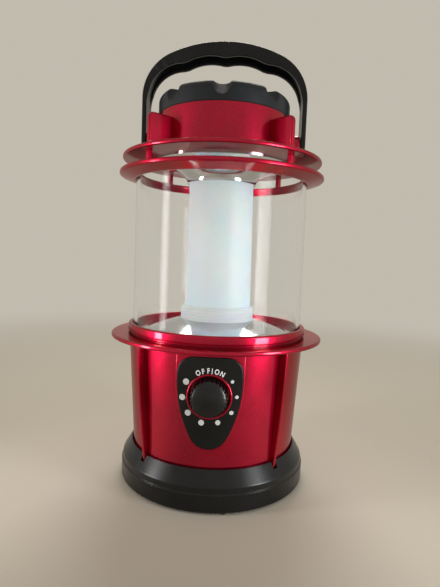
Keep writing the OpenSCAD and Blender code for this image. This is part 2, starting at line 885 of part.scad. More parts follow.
// Red body: tapered shell, flange, deck, ribs, panel boss, knob well and posts.
module lower_housing() {
    boss_in_r = body_radius(z_panel_wide - 30) - 0.5;
    color("#c1121f")
    difference() {
        union() {
            rotate_extrude()
                body_section();
            at_azimuths(rib_azimuths)
                body_rib();
            difference() {
                intersection() {
                    ring(boss_r, boss_in_r, z_seat, z_flange + 0.3 - z_seat);
                    forward_extrude(20, 60)
                        boss_outline();
                }
                difference() {
                    ring(boss_r + 1, panel_in_r, z_seat, z_flange - z_seat);
                    forward_extrude(-60, 20)
                        square(200, center = true);
                    forward_extrude(20, 60)
                        difference() {
                            translate([-100, 0])
                                square([200, 200]);
                            panel_outline(seat_gap);
                        }
                }
            }
            forward_cylinder(well_r + well_wall, dimmer_front_y, well_rim_y);
            at_azimuths(gap_azimuths)
                housing_post();
        }
        forward_cylinder(well_r, well_floor_y, well_rim_y + 2);
        forward_cylinder(bushing_r + seat_gap, dimmer_front_y - 1, well_floor_y + 1);
        at_azimuths(gap_azimuths)
            translate([0, -cage_screw_ring_r, z_plate_top - 1])
                cylinder(r = screw_r + 0.02, h = deck_t + 2);
        translate([0, lead_hole_y, z_plate_top - 1])
            cylinder(r = lead_hole_r, h = deck_t + 2);
    }
}

// Black control panel in the boss's pocket, with a round hole for the well.
module control_panel() {
    color("#161718")
    difference() {
        intersection() {
            ring(boss_r + panel_proud, panel_in_r + 0.02, z_seat, z_flange - z_seat);
            forward_extrude(20, 60)
                panel_outline(0);
        }
        forward_cylinder(well_r + well_wall + seat_gap, 20, 60);
    }
}

// ---- dimmer ----

// Fluted knob with a domed face, hollow round the nut, pressed on the shaft.
module dimmer_knob() {
    inner_r = knob_r - knob_shell;
    hollow_l = knob_l - knob_top_t;
    neck_l = bushing_front_y + hub_clear - knob_back_y;
    color("#141517")
    translate([0, -knob_back_y, z_knob])
        rotate([90, 0, 0])
            difference() {
                rotate_extrude()
                    polygon(concat(
                        [[0, neck_l], [hub_r, neck_l], [hub_r, hollow_l], [inner_r, hollow_l],
                            [inner_r, 0], [knob_r - 0.3, 0], [knob_r, 0.3]],
                        [[knob_r, knob_l - knob_dome - 1.2]],
                        [[knob_face_r, knob_l - knob_dome]],
                        [for (i = [1 : 8]) let(t = i / 8)
                            [knob_face_r * (1 - t), knob_l - knob_dome + knob_dome * (1 - pow(1 - t, 2))]]
                    ));
                translate([0, 0, -1])
                    cylinder(r = shaft_r + 0.02, h = knob_l - knob_top_t + 1);
                for (i = [0 : knob_flutes - 1])
                    rotate(i * 360 / knob_flutes)
                        translate([knob_r + flute_r * 0.3, 0, -1])
                            cylinder(r = flute_r, h = knob_l - knob_dome, $fn = 16);
                translate([-0.4, knob_face_r * 0.45, knob_l - knob_dome + 0.1])
                    cube([0.8, knob_face_r * 0.45, 2]);
            }
}

// Dimmer's shaft, which turns in the bushing and carries the knob.
module dimmer_shaft() {
    color("#9a9da2")
    union() {
        forward_cylinder(shaft_r, bushing_front_y + 0.2, shaft_front_y);
        forward_cylinder(shaft_r - 0.6, dimmer_front_y - dimmer_depth / 2, bushing_front_y + 0.2);
        forward_cylinder(dimmer_r - 2, dimmer_front_y - dimmer_depth / 2 - 1,
            dimmer_front_y - dimmer_depth / 2);
    }
}

// Dimmer's housing with its threaded bushing, fixed to the driver board.
module dimmer_body() {
    color("#b7bac0")
    difference() {
        union() {
            forward_cylinder(dimmer_r, board_front_y, dimmer_front_y);
            forward_cylinder(bushing_r, dimmer_front_y - 1, bushing_front_y);
        }
        forward_cylinder(shaft_r - 0.6 + turn_play, dimmer_front_y - dimmer_depth / 2 - 1,
            bushing_front_y + 1);
        forward_cylinder(dimmer_r - 2 + move_gap, dimmer_front_y - dimmer_depth / 2 - 1 - move_gap,
            dimmer_front_y - dimmer_depth / 2 + move_gap);
    }
}

module dimmer_washer() {
    color("#c8cbd0")
    difference() {
        forward_cylinder(washer_r, well_floor_y, well_floor_y + washer_t);
        forward_cylinder(bushing_r + seat_gap, well_floor_y - 1, well_floor_y + washer_t + 1);
    }
}

module dimmer_nut() {
    color("#c8cbd0")
    difference() {
        translate([0, -well_floor_y - washer_t, z_knob])
            rotate([90, 0, 0])
                cylinder(d = nut_af / cos(30), h = nut_t, $fn = 6);
        forward_cylinder(bushing_r + 0.03, well_floor_y, well_floor_y + nut_t + 2);
    }
}

// ---- driver board ----

module driver_board() {
    color("#2f6b3a")
    difference() {
        translate([-board_w / 2, -board_front_y, z_board])
            cube([board_w, board_t, board_h]);
        for (x = [-board_w / 2 + 2.5, board_w / 2 - 2.5])
            translate([x, -board_front_y + board_t + 1, z_board + board_h - 2.5])
                rotate([90, 0, 0])
                    cylinder(r = 1, h = board_t + 2, $fn = 24);
    }
}

module driver_capacitor() {
    can_r = 3.4;
    color("#32343a")
    translate([0, board_back_y + can_r, z_board + 19])
        cylinder(r = can_r, h = 10);
}

module driver_coil() {
    color("#8a4b2a")
    translate([0, board_back_y + 4, z_board + 12.5])
        rotate([90, 0, 0])
            difference() {
                cylinder(r = 4.6, h = 4);
                translate([0, 0, 1])
                    ring(5.5, 3.6, 0, 2);
            }
}

module driver_chip() {
    chip_w = 6;
    chip_h = 4.6;
    color("#1d1d1f")
    translate([-chip_w / 2, board_back_y, z_board + 2.2])
        cube([chip_w, 1.5, chip_h]);
}

// Two wires from the driver board up to the LED board.
module led_leads() {
    color("#c23b2e")
    for (side = [-1, 1])
        wire([
            [side * 0.7, lead_hole_y, z_lead_end + 3 * wire_r],
            [side * 0.7, lead_hole_y, z_deck + wire_r + 0.3],
            [side * 0.7, -lead_drop_r, z_deck + wire_r + 0.3],
            [side * 0.7, -lead_drop_r, z_led_board + led_board_t + 0.6]
        ]);
}

// Two wires from the battery contacts down to the driver board, in the plate's grooves.
module battery_leads() {
    z_run = z_lead_groove + wire_r + 0.05;
    color("#2b2b2d") {
        wire(concat([[0, 0, z_run]], lead_tail(-battery_lead_x, 0, z_run)));
        wire(concat(
            [[lead_contact[0], lead_contact[1], z_plate + 0.05], [lead_contact[0], lead_contact[1], z_run]],
            lead_tail(battery_lead_x, lead_contact[1], z_run)
        ));
    }
}

// ---- light column ----

// Aluminium puck that carries the LED board, with a channel for the wires.
module heat_sink() {
    channel_w = 3.4;
    color("#aab0b6")
    difference() {
        union() {
            disc(deck_hole_r - seat_gap, z_plate_top, deck_t);
            disc(sink_flange_r, z_deck, sink_flange_t);
            disc(puck_r, z_sink_top, sink_puck_h);
        }
        translate([-channel_w / 2, -sink_flange_r - 1, z_deck - eps])
            cube([channel_w, sink_flange_r - lead_drop_r + 1, sink_flange_t - 0.4]);
        translate([0, -lead_drop_r, z_deck - eps])
            cylinder(r = channel_w / 2, h = sink_flange_t + sink_puck_h + 1);
        for (side = [-1, 1])
            translate([side * led_screw_x, 0, z_led_board - 3])
                cylinder(r = screw_r + 0.02, h = 4);
    }
}

module led_board() {
    color("#f2f2ee")
    difference() {
        disc(led_board_r, z_led_board, led_board_t);
        translate([0, -lead_drop_r, z_led_board - 1])
            cylinder(r = 1.7, h = led_board_t + 2);
        for (side = [-1, 1])
            translate([side * led_screw_x, 0, z_led_board - 1])
                cylinder(r = screw_r + seat_gap, h = led_board_t + 2);
    }
}

// LEDs in a ring on their board, each with a clear dome.
module led_chips() {
    color("#f6e27a")
    for (i = [0 : led_count - 1])
        rotate(180 / led_count + i * 360 / led_count)
            translate([0, -led_ring_r, z_led_board + led_board_t]) {
                translate([-led_side / 2, -led_side / 2, 0])
                    cube([led_side, led_side, led_h]);
                translate([0, 0, led_h - eps])
                    rotate_extrude()
                        polygon(concat([[0, 0]], arc_points([0, 0], led_dome_r, 0, 90, 12)));
            }
}

module led_screws() {
    color("#b8bbc0")
    for (side = [-1, 1])
        translate([side * led_screw_x, 0, z_led_board + led_board_t])
            mirror([0, 0, 1])
                screw(led_board_t + 2.6);
}

// Bright dish on the deck that rises to the foot of the tube.
module lower_reflector() {
    rim_r = globe_in_r - 2 * seat_gap;
    toe_r = rim_r - 5.2;
    lip_out = tube_ring_r + 0.6;
    color("#dfe3e6")
    rotate_extrude()
        polygon([
            [toe_r - 0.5, z_deck],
            [rim_r, z_deck],
            [rim_r, z_deck + reflector_t],
            [toe_r, z_deck + reflector_t],
            [lip_out, z_cone_top],
            [reflector_hole_r, z_cone_top],
            [reflector_hole_r, z_cone_top - reflector_t],
            [lip_out - 0.3, z_cone_top - reflector_t]
        ]);
}

// Stepped ring round the tube's foot.
module tube_ring() {
    step = tube_ring_h / 5;
    color("#e8ecef")
    difference() {
        ring(tube_ring_r, tube_low_r + seat_gap, z_cone_top, tube_ring_h);
        for (i = [1 : 4])
            ring(tube_ring_r + 1, tube_ring_r - 0.35, z_cone_top + i * step - 0.2, 0.4);
        ring(tube_ring_r + 1, tube_ring_r - 0.6, z_cone_top + tube_ring_h - 0.8, 1);
    }
}

// Frosted tube that stands in for a mantle, slightly tapered.
module mantle_tube() {
    color("#d9e6f2")
    rotate_extrude()
        polygon([
            [tube_low_r - tube_wall, z_tube],
            [tube_low_r, z_tube],
            [tube_top_r, z_tube_top],
            [tube_top_r - tube_wall, z_tube_top]
        ]);
}

// ---- globe ----

module globe_gasket() {
    color("#3a3a3a")
    ring(globe_r, globe_in_r, z_deck, gasket_t);
}

// Red collar on the body's neck round the globe's foot.
module globe_collar() {
    color("#c1121f")
    rotate_extrude()
        polygon([
            [collar_in_r, z_deck],
            [collar_r - 0.4, z_deck],
            [collar_r, z_deck + 0.4],
            [collar_r, z_deck + collar_h - 0.8],
            [collar_r - 0.8, z_deck + collar_h],
            [collar_in_r + 0.4, z_deck + collar_h],
            [collar_in_r, z_deck + collar_h - 0.4]
        ]);
}

module globe() {
    color([0.85, 0.93, 0.97, 0.35])
    ring(globe_r, globe_in_r, z_globe, globe_h);
}

// Trumpet curve from the neck at angle 0 out to a level rim at angle 90.
function flare_point(angle, width, rise) =
    [flare_r - width * pow(cos(angle), 1.5), z_neck + rise * sin(angle)];

// Bright trumpet from the tube's top out to a level rim under the upper ring.
module upper_reflector() {
    neck_out = neck_bore_r + neck_wall;
    width = flare_r - neck_out;
    z_seat_disc = z_tube_top + 0.1;
    lower = [for (a = [0 : 6 : 90]) flare_point(a, width, upper_reflector_h - flare_rim_t)];
    upper = [for (a = [84 : -6 : 6]) flare_point(a, width + reflector_t, upper_reflector_h)];
    color("#e6e9ec")
    rotate_extrude()
        polygon(concat(
            [[neck_bore_r, z_neck]],
            lower,
            [[flare_r, z_ring_a]],
            [for (p = upper) if (p[1] > z_seat_disc + reflector_t) p],
            [[neck_out, z_seat_disc + reflector_t], [0, z_seat_disc + reflector_t],
                [0, z_seat_disc], [neck_bore_r, z_seat_disc]]
        ));
}

// ---- top ----

// Lower ring of the top, with a sloping lip round the globe and a thin cover over its rim.
module globe_ring() {
    hole_r = globe_r + seat_gap;
    cover_r = globe_in_r + 2 * seat_gap;
    color("#c1121f")
    difference() {
        rotate_extrude()
            polygon([
                [hole_r, z_ring_b - ring_b_lip],
                [hole_r + 1.2, z_ring_b - ring_b_lip],
                [ring_b_r - 0.6, z_ring_b],
                [ring_b_r, z_ring_b + 0.5],
                [ring_b_r, z_ring_b_top - 0.6],
                [ring_b_r - 0.6, z_ring_b_top],
                [cover_r, z_ring_b_top],
                [cover_r, z_globe_top],
                [hole_r, z_globe_top]
            ]);
        at_azimuths(rib_azimuths)
            translate([-peg_side / 2 - 0.05, -peg_r_pos - peg_side / 2 - 0.05, z_ring_b_top - peg_h - 0.1])
                cube([peg_side + 0.1, peg_side + 0.1, peg_h + 1]);
    }
}

// One fin with its rounded outer corner, drawn at the front.
module fin() {
    root_r = drum_r - drum_wall / 2;
    corner = [fin_r - fin_corner_r, z_ring_a_top + fin_h - fin_corner_r];
    rotate(-90)
        rotate([90, 0, 0])
            translate([0, 0, -fin_t / 2])
                linear_extrude(height = fin_t)
                    polygon(concat(
                        [[root_r, z_ring_a + 1], [fin_r, z_ring_a + 1]],
                        arc_points(corner, fin_corner_r, 0, 90, 8),
                        [[root_r, z_ring_a_top + fin_h]]
                    ));
}

// Ear that a handle pin is fixed in, on the +X side.
module handle_ear() {
    intersection() {
        union() {
            translate([ear_root_x, 0, z_pivot])
                rotate([0, 90, 0])
                    cylinder(r = ear_r, h = ear_face_x - ear_root_x);
            translate([ear_root_x, -ear_r, z_ring_a + 1])
                cube([ear_face_x - ear_root_x, 2 * ear_r, z_pivot - z_ring_a - 1]);
        }
        difference() {
            disc(ring_a_r, z_ring_a, drum_h + ring_a_t);
            disc(drum_r - drum_wall / 2, z_ring_a_top, drum_h + 1);
        }
    }
}

// Red top: upper ring, drum, fins, ears, and the posts down to the lower ring.
module top_housing() {
    color("#c1121f")
    difference() {
        union() {
            rotate_extrude()
                polygon([
                    [0, z_ring_a],
                    [ring_a_r - 0.5, z_ring_a],
                    [ring_a_r, z_ring_a + 0.5],
                    [ring_a_r, z_ring_a_top - 0.6],
                    [ring_a_r - 0.6, z_ring_a_top],
                    [drum_foot_r + drum_step_w, z_ring_a_top],
                    [drum_foot_r + drum_step_w - 0.4, z_ring_a_top + drum_step_h * 0.6],
                    [drum_foot_r, z_ring_a_top + drum_step_h],
                    [drum_r, z_drum_top],
                    [drum_r - drum_wall, z_drum_top],
                    [drum_r - drum_wall, z_ring_a_top],
                    [0, z_ring_a_top]
                ]);
            at_azimuths(rib_azimuths) {
                fin();
                translate([-fin_t / 2, -post_r, z_ring_b_top])
                    cube([fin_t, post_r - post_in_r, ring_gap + 1]);
                translate([-peg_side / 2, -peg_r_pos - peg_side / 2, z_ring_b_top - peg_h])
                    cube([peg_side, peg_side, peg_h + 1]);
            }
            for (side = [0, 180])
                rotate(side)
                    handle_ear();
        }
        for (side = [0, 180])
            rotate(side)
                translate([ear_root_x - 3, 0, z_pivot])
                    rotate([0, 90, 0])
                        cylinder(r = pin_r + 0.02, h = ear_face_x - ear_root_x + 6);
        at_azimuths(gap_azimuths)
            translate([0, -cap_screw_ring_r, z_ring_a - 1])
                cylinder(r = screw_r + seat_gap, h = ring_a_t + 2);
    }
}

// Black cap with finger scoops, a spigot in the drum and three screw posts.
module top_cap() {
    top_in = drum_r - drum_wall;
    scoop_angle = 45;
    edge_c = [drum_r - cap_edge_r, z_cap_top - cap_edge_r];
    corner = edge_c + cap_edge_r * [cos(45), sin(45)];
    color("#17181a")
    difference() {
        union() {
            rotate_extrude()
                polygon(concat(
                    [[cap_spigot_r - cap_wall, z_drum_top - cap_spigot_h],
                        [cap_spigot_r, z_drum_top - cap_spigot_h],
                        [cap_spigot_r, z_drum_top],
                        [drum_r, z_drum_top]],
                    arc_points(edge_c, cap_edge_r, 0, 90, 12),
                    [[0, z_cap_top], [0, z_cap_top - cap_wall],
                        [cap_spigot_r - cap_wall - 5, z_cap_top - cap_wall],
                        [cap_spigot_r - cap_wall - 4.4, z_cap_top - cap_h],
                        [cap_spigot_r - cap_wall, z_drum_top]]
                ));
            at_azimuths(gap_azimuths)
                translate([0, -cap_screw_ring_r, z_ring_a_top])
                    cylinder(r = cap_post_r, h = z_cap_top - cap_wall / 2 - z_ring_a_top);
        }
        for (i = [0 : scoop_count - 1])
            rotate(i * 360 / scoop_count)
                translate([0, -corner[0] - 0.7, corner[1] + 0.7])
                    rotate([-scoop_angle, 0, 0])
                        translate([0, 0, -2 * drum_r])
                            scoop_cutter(scoop_angle);
        at_azimuths(gap_azimuths)
            translate([0, -cap_screw_ring_r, z_ring_a_top - eps])
                cylinder(r = screw_r + 0.02, h = cap_screw_bite + 2);
    }
}

// A long cylinder that cuts one scoop, its nearest line scoop_depth deep in the cap's edge.
module scoop_cutter(angle) {
    translate([0, -(scoop_r - scoop_depth) + 1, 0])
        cylinder(r = scoop_r, h = 4 * drum_r);
}

module cap_screws() {
    color("#b8bbc0")
    at_azimuths(gap_azimuths)
        translate([0, -cap_screw_ring_r, z_ring_a])
            screw(ring_a_t + cap_screw_bite);
}

// ---- handle ----

// Arch outline in x and z over the pivot: straight arms, round corners, a long top curve.
module arch_outline(half, corner_r, top_r, rise, z_low) {
    corner_c = [half - corner_r, rise - top_r + sqrt(pow(top_r - corner_r, 2) - pow(half - corner_r, 2))];
    split = atan2(corner_c[1] - (rise - top_r), corner_c[0]);
    right = concat(
        [[half, z_low]],
        arc_points(corner_c, corner_r, 0, split, 20),
        arc_points([0, rise - top_r], top_r, split, 90, 12)
    );
    polygon(concat(right, mirrored(right)));
}

// Black carrying handle: a strap with side lips and four finger hollows under the grip.
module handle() {
    half_in = handle_half - handle_t;
    rise_in = handle_rise - grip_depth;
    grip_c = [0, rise_in - grip_top_r];
    corner_c = [half_in - grip_corner_r,
        rise_in - grip_top_r + sqrt(pow(grip_top_r - grip_corner_r, 2) - pow(half_in - grip_corner_r, 2))];
    inner_a = asin(finger_pitch / 2 / grip_top_r);
    outer_a = acos((finger_pitch * 1.5 - corner_c[0]) / grip_corner_r);
    color("#19191b")
    translate([0, 0, z_pivot])
    difference() {
        union() {
            forward_extrude(-handle_w / 2, handle_w / 2)
                arch_outline(handle_half, handle_corner_r, handle_top_r, handle_rise, 0);
            for (side = [-1, 1])
                translate([side * (handle_half - handle_t / 2), 0, 0])
                    rotate([0, 90, 0])
                        cylinder(r = handle_w / 2, h = handle_t, center = true);
        }
        forward_extrude(-handle_w, handle_w)
            arch_outline(half_in, grip_corner_r, grip_top_r, rise_in, -handle_w);
        forward_extrude(-handle_w / 2 + grip_lip_t, handle_w / 2 - grip_lip_t)
            arch_outline(half_in, handle_corner_r - handle_t, handle_top_r - handle_t,
                handle_rise - handle_t, -handle_w);
        for (side = [-1, 1]) {
            finger_hollow(grip_c, grip_top_r, 90 + side * inner_a, finger_depth, finger_r);
            finger_hollow([side * corner_c[0], corner_c[1]], grip_corner_r,
                90 - side * (90 - outer_a), finger_depth * 0.7, outer_finger_r);
            translate([side * handle_half, 0, 0])
                rotate([0, -side * 90, 0]) {
                    translate([0, 0, -1])
                        cylinder(r = pin_r + turn_play, h = handle_t + 2);
                    translate([0, 0, -eps])
                        cylinder(r1 = pin_head_r + turn_play, r2 = pin_r + turn_play, h = pin_head_t);
                }
        }
    }
}

// One finger hollow: a wide cylinder pressed depth into an arc of radius r round c.
module finger_hollow(c, r, angle, depth, hollow_r) {
    reach = r + depth - hollow_r;
    translate([c[0] + reach * cos(angle), handle_w, c[1] + reach * sin(angle)])
        rotate([90, 0, 0])
            cylinder(r = hollow_r, h = 2 * handle_w);
}

// Countersunk pins that the handle turns on, fixed in the ears.
module handle_pins() {
    inner_x = ear_root_x + 0.2;
    pin_sink = 0.1;
    face_r = pin_head_r - pin_sink * (pin_head_r - pin_r) / pin_head_t;
    color("#8e9196")
    for (side = [0, 180])
        rotate(side)
            translate([inner_x, 0, z_pivot])
                rotate([0, 90, 0])
                    union() {
                        cylinder(r = pin_r, h = handle_half - inner_x - pin_sink);
                        translate([0, 0, handle_half - inner_x - pin_head_t])
                            cylinder(r1 = pin_r, r2 = face_r, h = pin_head_t - pin_sink);
                    }
}

base_shell();
rubber_feet();
battery_door();
door_seal();
door_rivet();
contact_disc();
contact_springs();
base_screws();
battery_cage();
cage_screws();
battery_right();
battery_rear();
battery_left();
contact_plates();
return_strip();
lower_housing();
control_panel();
dimmer_knob();
dimmer_shaft();
dimmer_body();
dimmer_washer();
dimmer_nut();
driver_board();
driver_capacitor();
driver_coil();
driver_chip();
led_leads();
battery_leads();
heat_sink();
led_board();
led_chips();
led_screws();
lower_reflector();
tube_ring();
mantle_tube();
globe_gasket();
globe_collar();
globe();
upper_reflector();
globe_ring();
top_housing();
top_cap();
cap_screws();
handle();
handle_pins();
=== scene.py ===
"""Camping lantern with three D cells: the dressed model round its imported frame.

Lengths are in millimetres until a mesh is made, and then they become metres. +Z is up and
the front with the dimmer knob faces -Y. An azimuth is counted from the front towards +X.
"""

import logging
import math
from collections.abc import Callable, Iterable, Sequence
from dataclasses import dataclass, field
from enum import Enum

import bmesh
import bpy
from mathutils import Matrix, Vector


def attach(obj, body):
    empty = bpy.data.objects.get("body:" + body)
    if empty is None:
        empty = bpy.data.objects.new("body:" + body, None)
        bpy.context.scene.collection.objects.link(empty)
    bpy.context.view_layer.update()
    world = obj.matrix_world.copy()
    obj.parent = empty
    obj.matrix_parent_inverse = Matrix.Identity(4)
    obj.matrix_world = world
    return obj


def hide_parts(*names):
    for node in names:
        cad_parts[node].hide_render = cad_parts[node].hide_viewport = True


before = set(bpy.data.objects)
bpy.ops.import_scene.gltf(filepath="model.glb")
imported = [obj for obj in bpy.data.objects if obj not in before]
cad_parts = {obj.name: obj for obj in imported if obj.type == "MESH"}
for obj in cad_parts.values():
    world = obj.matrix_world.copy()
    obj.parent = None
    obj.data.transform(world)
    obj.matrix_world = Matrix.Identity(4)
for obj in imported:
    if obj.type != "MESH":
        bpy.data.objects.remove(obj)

MM = 0.001
TINY = 1e-6
NEAR_AXIS = 0.01
QUARTER_AZIMUTHS = (45.0, 135.0, 225.0, 315.0)
SIDE_AZIMUTHS = (90.0, 270.0)

# Steps in a full turn.
WIDE_TURN = 192
TUBE_TURN = 128
CUTTER_TURN = 96

# Radii that round the moulded edges.
FAINT = 0.1
CRISP = 0.2
EASED = 0.3
BROKEN = 0.4
SOFT = 0.5

# An edge that turns by more degrees is a crease.
CREASE_ANGLE = 35.0
# A corner whose half angle is over this many degrees is straight enough to leave alone.
STRAIGHT_CORNER = 89.5
# Share of a side that one rounded corner may take up.
REACH_SHARE = 0.48
# Distance from the axis that is in front of everything.
CUTTER_FRONT = 60.0
# How far a rib or a fin goes into the wall that it stands on.
ROOT = 1.0

Point = tuple[float, float]
Outline = list[Point]
Rgb = tuple[float, float, float]

log = logging.getLogger("lantern")


class Carrier(Enum):
    """The bodies that the new pieces ride on."""

    LANTERN = "lantern"
    HANDLE = "handle"
    KNOB = "knob"


class Slot(Enum):
    """Names of material slots that are passed along with the new pieces."""

    BLACK_PLASTIC = "black_plastic"
    RED_PAINT = "red_paint"
    PANEL_BLACK = "panel_black"
    KNOB_BLACK = "knob_black"
    HANDLE_BLACK = "handle_black"
    CLEAR_GLOBE = "clear_globe"
    FROSTED = "frosted_plastic"
    MIRROR = "mirror_coat"
    RUBBER = "foot_rubber"


# ---- outlines ----


@dataclass(frozen=True)
class Corner:
    """One corner of an outline and the radius that rounds it."""

    x: float
    y: float
    radius: float = 0.0


def arc(centre: Point, radius: float, start: float, end: float, steps: int) -> Outline:
    """Points on an arc.

    Args:
        centre: Middle of the arc.
        radius: Radius of the arc.
        start: First angle in degrees.
        end: Last angle in degrees.
        steps: Number of equal steps between them.

    Returns:
        The steps + 1 points from start to end.
    """
    angles = [math.radians(start + (end - start) * i / steps) for i in range(steps + 1)]
    return [(centre[0] + radius * math.cos(a), centre[1] + radius * math.sin(a)) for a in angles]


def rounded(corners: Sequence[Corner], steps: int = 6) -> Outline:
    """Round the corners of a closed outline.

    Args:
        corners: The outline's corners in order.
        steps: Number of steps in each rounded corner.

    Returns:
        The outline's points.
    """
    points: Outline = []
    for i, corner in enumerate(corners):
        here = Vector((corner.x, corner.y))
        before, after = corners[i - 1], corners[(i + 1) % len(corners)]
        back = Vector((before.x, before.y)) - here
        ahead = Vector((after.x, after.y)) - here
        half = back.angle(ahead) / 2
        if corner.radius <= 0 or half > math.radians(STRAIGHT_CORNER):
            points.append((corner.x, corner.y))
            continue
        reach = min(corner.radius / math.tan(half), REACH_SHARE * min(back.length, ahead.length))
        radius = reach * math.tan(half)
        inward = (back.normalized() + ahead.normalized()).normalized()
        middle = here + inward * radius / math.sin(half)
        start = here + back.normalized() * reach - middle
        end = here + ahead.normalized() * reach - middle
        first = math.atan2(start.y, start.x)
        turn = (math.atan2(end.y, end.x) - first + math.pi) % (2 * math.pi) - math.pi
        points += [
            (middle.x + radius * math.cos(first + turn * k / steps),
             middle.y + radius * math.sin(first + turn * k / steps))
            for k in range(steps + 1)
        ]
    return points


def bulged(start: Point, end: Point, rise: float, steps: int) -> Outline:
    """Points along a shallow curve.

    Args:
        start: First point.
        end: Last point.
        rise: Height of the curve over the straight line at its middle, to the right of it.
        steps: Number of steps.

    Returns:
        The curve's points.
    """
    along = Vector(end) - Vector(start)
    side = Vector((along.y, -along.x)).normalized()
    points = []
    for i in range(steps + 1):
        t = i / steps
        p = Vector(start) + along * t + side * (4 * rise * t * (1 - t))
        points.append((p.x, p.y))
    return points


# ---- meshes ----


def placed(name: str, data: bpy.types.ID) -> bpy.types.Object:
    """Put new data into the scene as an object.

    Args:
        name: Name of the object.
        data: Its mesh, curve, lamp or camera.

    Returns:
        The new object.
    """
    obj = bpy.data.objects.new(name, data)
    bpy.context.scene.collection.objects.link(obj)
    return obj


def shade(obj: bpy.types.Object, sharp_angle: float = CREASE_ANGLE) -> None:
    """Shade a piece smooth, with creases where its faces turn by more than sharp_angle degrees."""
    obj.data.shade_smooth()
    obj.data.set_sharp_from_angle(angle=math.radians(sharp_angle))


def finished_mesh(
    name: str, bm: bmesh.types.BMesh, sharp_angle: float = CREASE_ANGLE
) -> bpy.types.Object:
    """Turn a bmesh in millimetres into an object in metres.

    Args:
        name: Name of the new piece.
        bm: The mesh, which is freed.
        sharp_angle: Angle in degrees over which an edge is a crease.

    Returns:
        The new object, linked to the scene.
    """
    bmesh.ops.recalc_face_normals(bm, faces=bm.faces)
    bmesh.ops.scale(bm, vec=(MM, MM, MM), verts=bm.verts)
    mesh = bpy.data.meshes.new(name)
    bm.to_mesh(mesh)
    bm.free()
    obj = placed(name, mesh)
    shade(obj, sharp_angle)
    return obj


def bridge(bm: bmesh.types.BMesh, lower: list, upper: list) -> None:
    """Join two closed rings of vertices with faces; a ring of one vertex becomes a fan.

    Args:
        bm: The mesh that holds the vertices.
        lower: Vertices of the first ring.
        upper: Vertices of the second ring.
    """
    count = max(len(lower), len(upper))
    for k in range(count):
        j = (k + 1) % count
        loop = [lower[k % len(lower)], lower[j % len(lower)]]
        loop += [upper[j % len(upper)], upper[k % len(upper)]]
        loop = list(dict.fromkeys(loop))
        if len(loop) > 2:
            bm.faces.new(loop)


def revolved(
    name: str,
    outline: Outline,
    steps: int = 160,
    shift: Callable[[float, float, float], tuple[float, float]] | None = None,
) -> bpy.types.Object:
    """Turn a closed outline in radius and height round the Z axis.

    Args:
        name: Name of the new piece.
        outline: Points of radius and height; a run on the axis closes the piece.
        steps: Number of steps in a full turn.
        shift: Gives a point's new radius and height from its azimuth in radians, radius and height.

    Returns:
        The new object.
    """
    bm = bmesh.new()
    rings = []
    for radius, height in outline:
        if radius < TINY:
            rings.append([bm.verts.new((0, 0, height))])
            continue
        ring = []
        for k in range(steps):
            azimuth = 2 * math.pi * k / steps
            r, z = shift(azimuth, radius, height) if shift else (radius, height)
            ring.append(bm.verts.new((r * math.sin(azimuth), -r * math.cos(azimuth), z)))
        rings.append(ring)
    for i, ring in enumerate(rings):
        following = rings[(i + 1) % len(rings)]
        if len(ring) > 1 or len(following) > 1:
            bridge(bm, ring, following)
    return finished_mesh(name, bm)


def slab(name: str, outline: Outline, thickness: float, bevel: float = 0.0) -> bpy.types.Object:
    """Extrude an outline in X and Z along Y, centred on the XZ plane.

    Args:
        name: Name of the new piece.
        outline: The outline's points.
        thickness: Thickness along Y.
        bevel: Radius that rounds the edges of both faces.

    Returns:
        The new object.
    """
    bm = bmesh.new()
    front = [bm.verts.new((x, -thickness / 2, z)) for x, z in outline]
    back = [bm.verts.new((x, thickness / 2, z)) for x, z in outline]
    faces = [bm.faces.new(front), bm.faces.new(back[::-1])]
    bridge(bm, front, back)
    bmesh.ops.recalc_face_normals(bm, faces=bm.faces)
    if bevel > 0:
        edges = list({edge for face in faces for edge in face.edges})
        bmesh.ops.bevel(bm, geom=edges, offset=bevel, segments=4, profile=0.5, affect="EDGES")
    return finished_mesh(name, bm)


def moved(obj: bpy.types.Object, matrix: Matrix) -> bpy.types.Object:
    """Move a piece's own vertices.

    Args:
        obj: The piece.
        matrix: The move, in metres.

    Returns:
        The piece.
    """
    obj.data.transform(matrix)
    obj.data.update()
    return obj


def at_azimuth(azimuth: float) -> Matrix:
    """Matrix that turns a piece drawn along +X to an azimuth in degrees."""
    return Matrix.Rotation(math.radians(azimuth - 90), 4, "Z")


def facing_front(height: float) -> Matrix:
    """Matrix that lays a piece drawn along +Z onto the -Y direction at a height."""
    return Matrix.Translation((0, 0, height * MM)) @ Matrix.Rotation(math.radians(90), 4, "X")


def front_cutter(radius: float, back: float, height: float) -> bpy.types.Object:
    """Shape that cuts a round hole from the front.

    Args:
        radius: Radius of the hole.
        back: Distance from the axis to the hole's floor.
        height: Height of the hole's middle.

    Returns:
        The cutter, which reaches out past the front.
    """
    outline = [(0, back), (radius, back), (radius, CUTTER_FRONT), (0, CUTTER_FRONT)]
    return moved(revolved("front_cutter", outline, CUTTER_TURN), facing_front(height))


def settle(obj: bpy.types.Object) -> None:
    """Apply a piece's modifiers to its mesh.

    Args:
        obj: The piece.
    """
    graph = bpy.context.evaluated_depsgraph_get()
    mesh = bpy.data.meshes.new_from_object(obj.evaluated_get(graph), depsgraph=graph)
    obj.modifiers.clear()
    old = obj.data
    obj.data = mesh
    bpy.data.meshes.remove(old)
    mesh.name = obj.name


def level_shading(obj: bpy.types.Object) -> None:
    """Let a piece's large faces set its normals, so that walls stay straight beside rounded edges.

    Args:
        obj: The piece.
    """
    step = obj.modifiers.new("level_shading", "WEIGHTED_NORMAL")
    step.keep_sharp = True
    settle(obj)


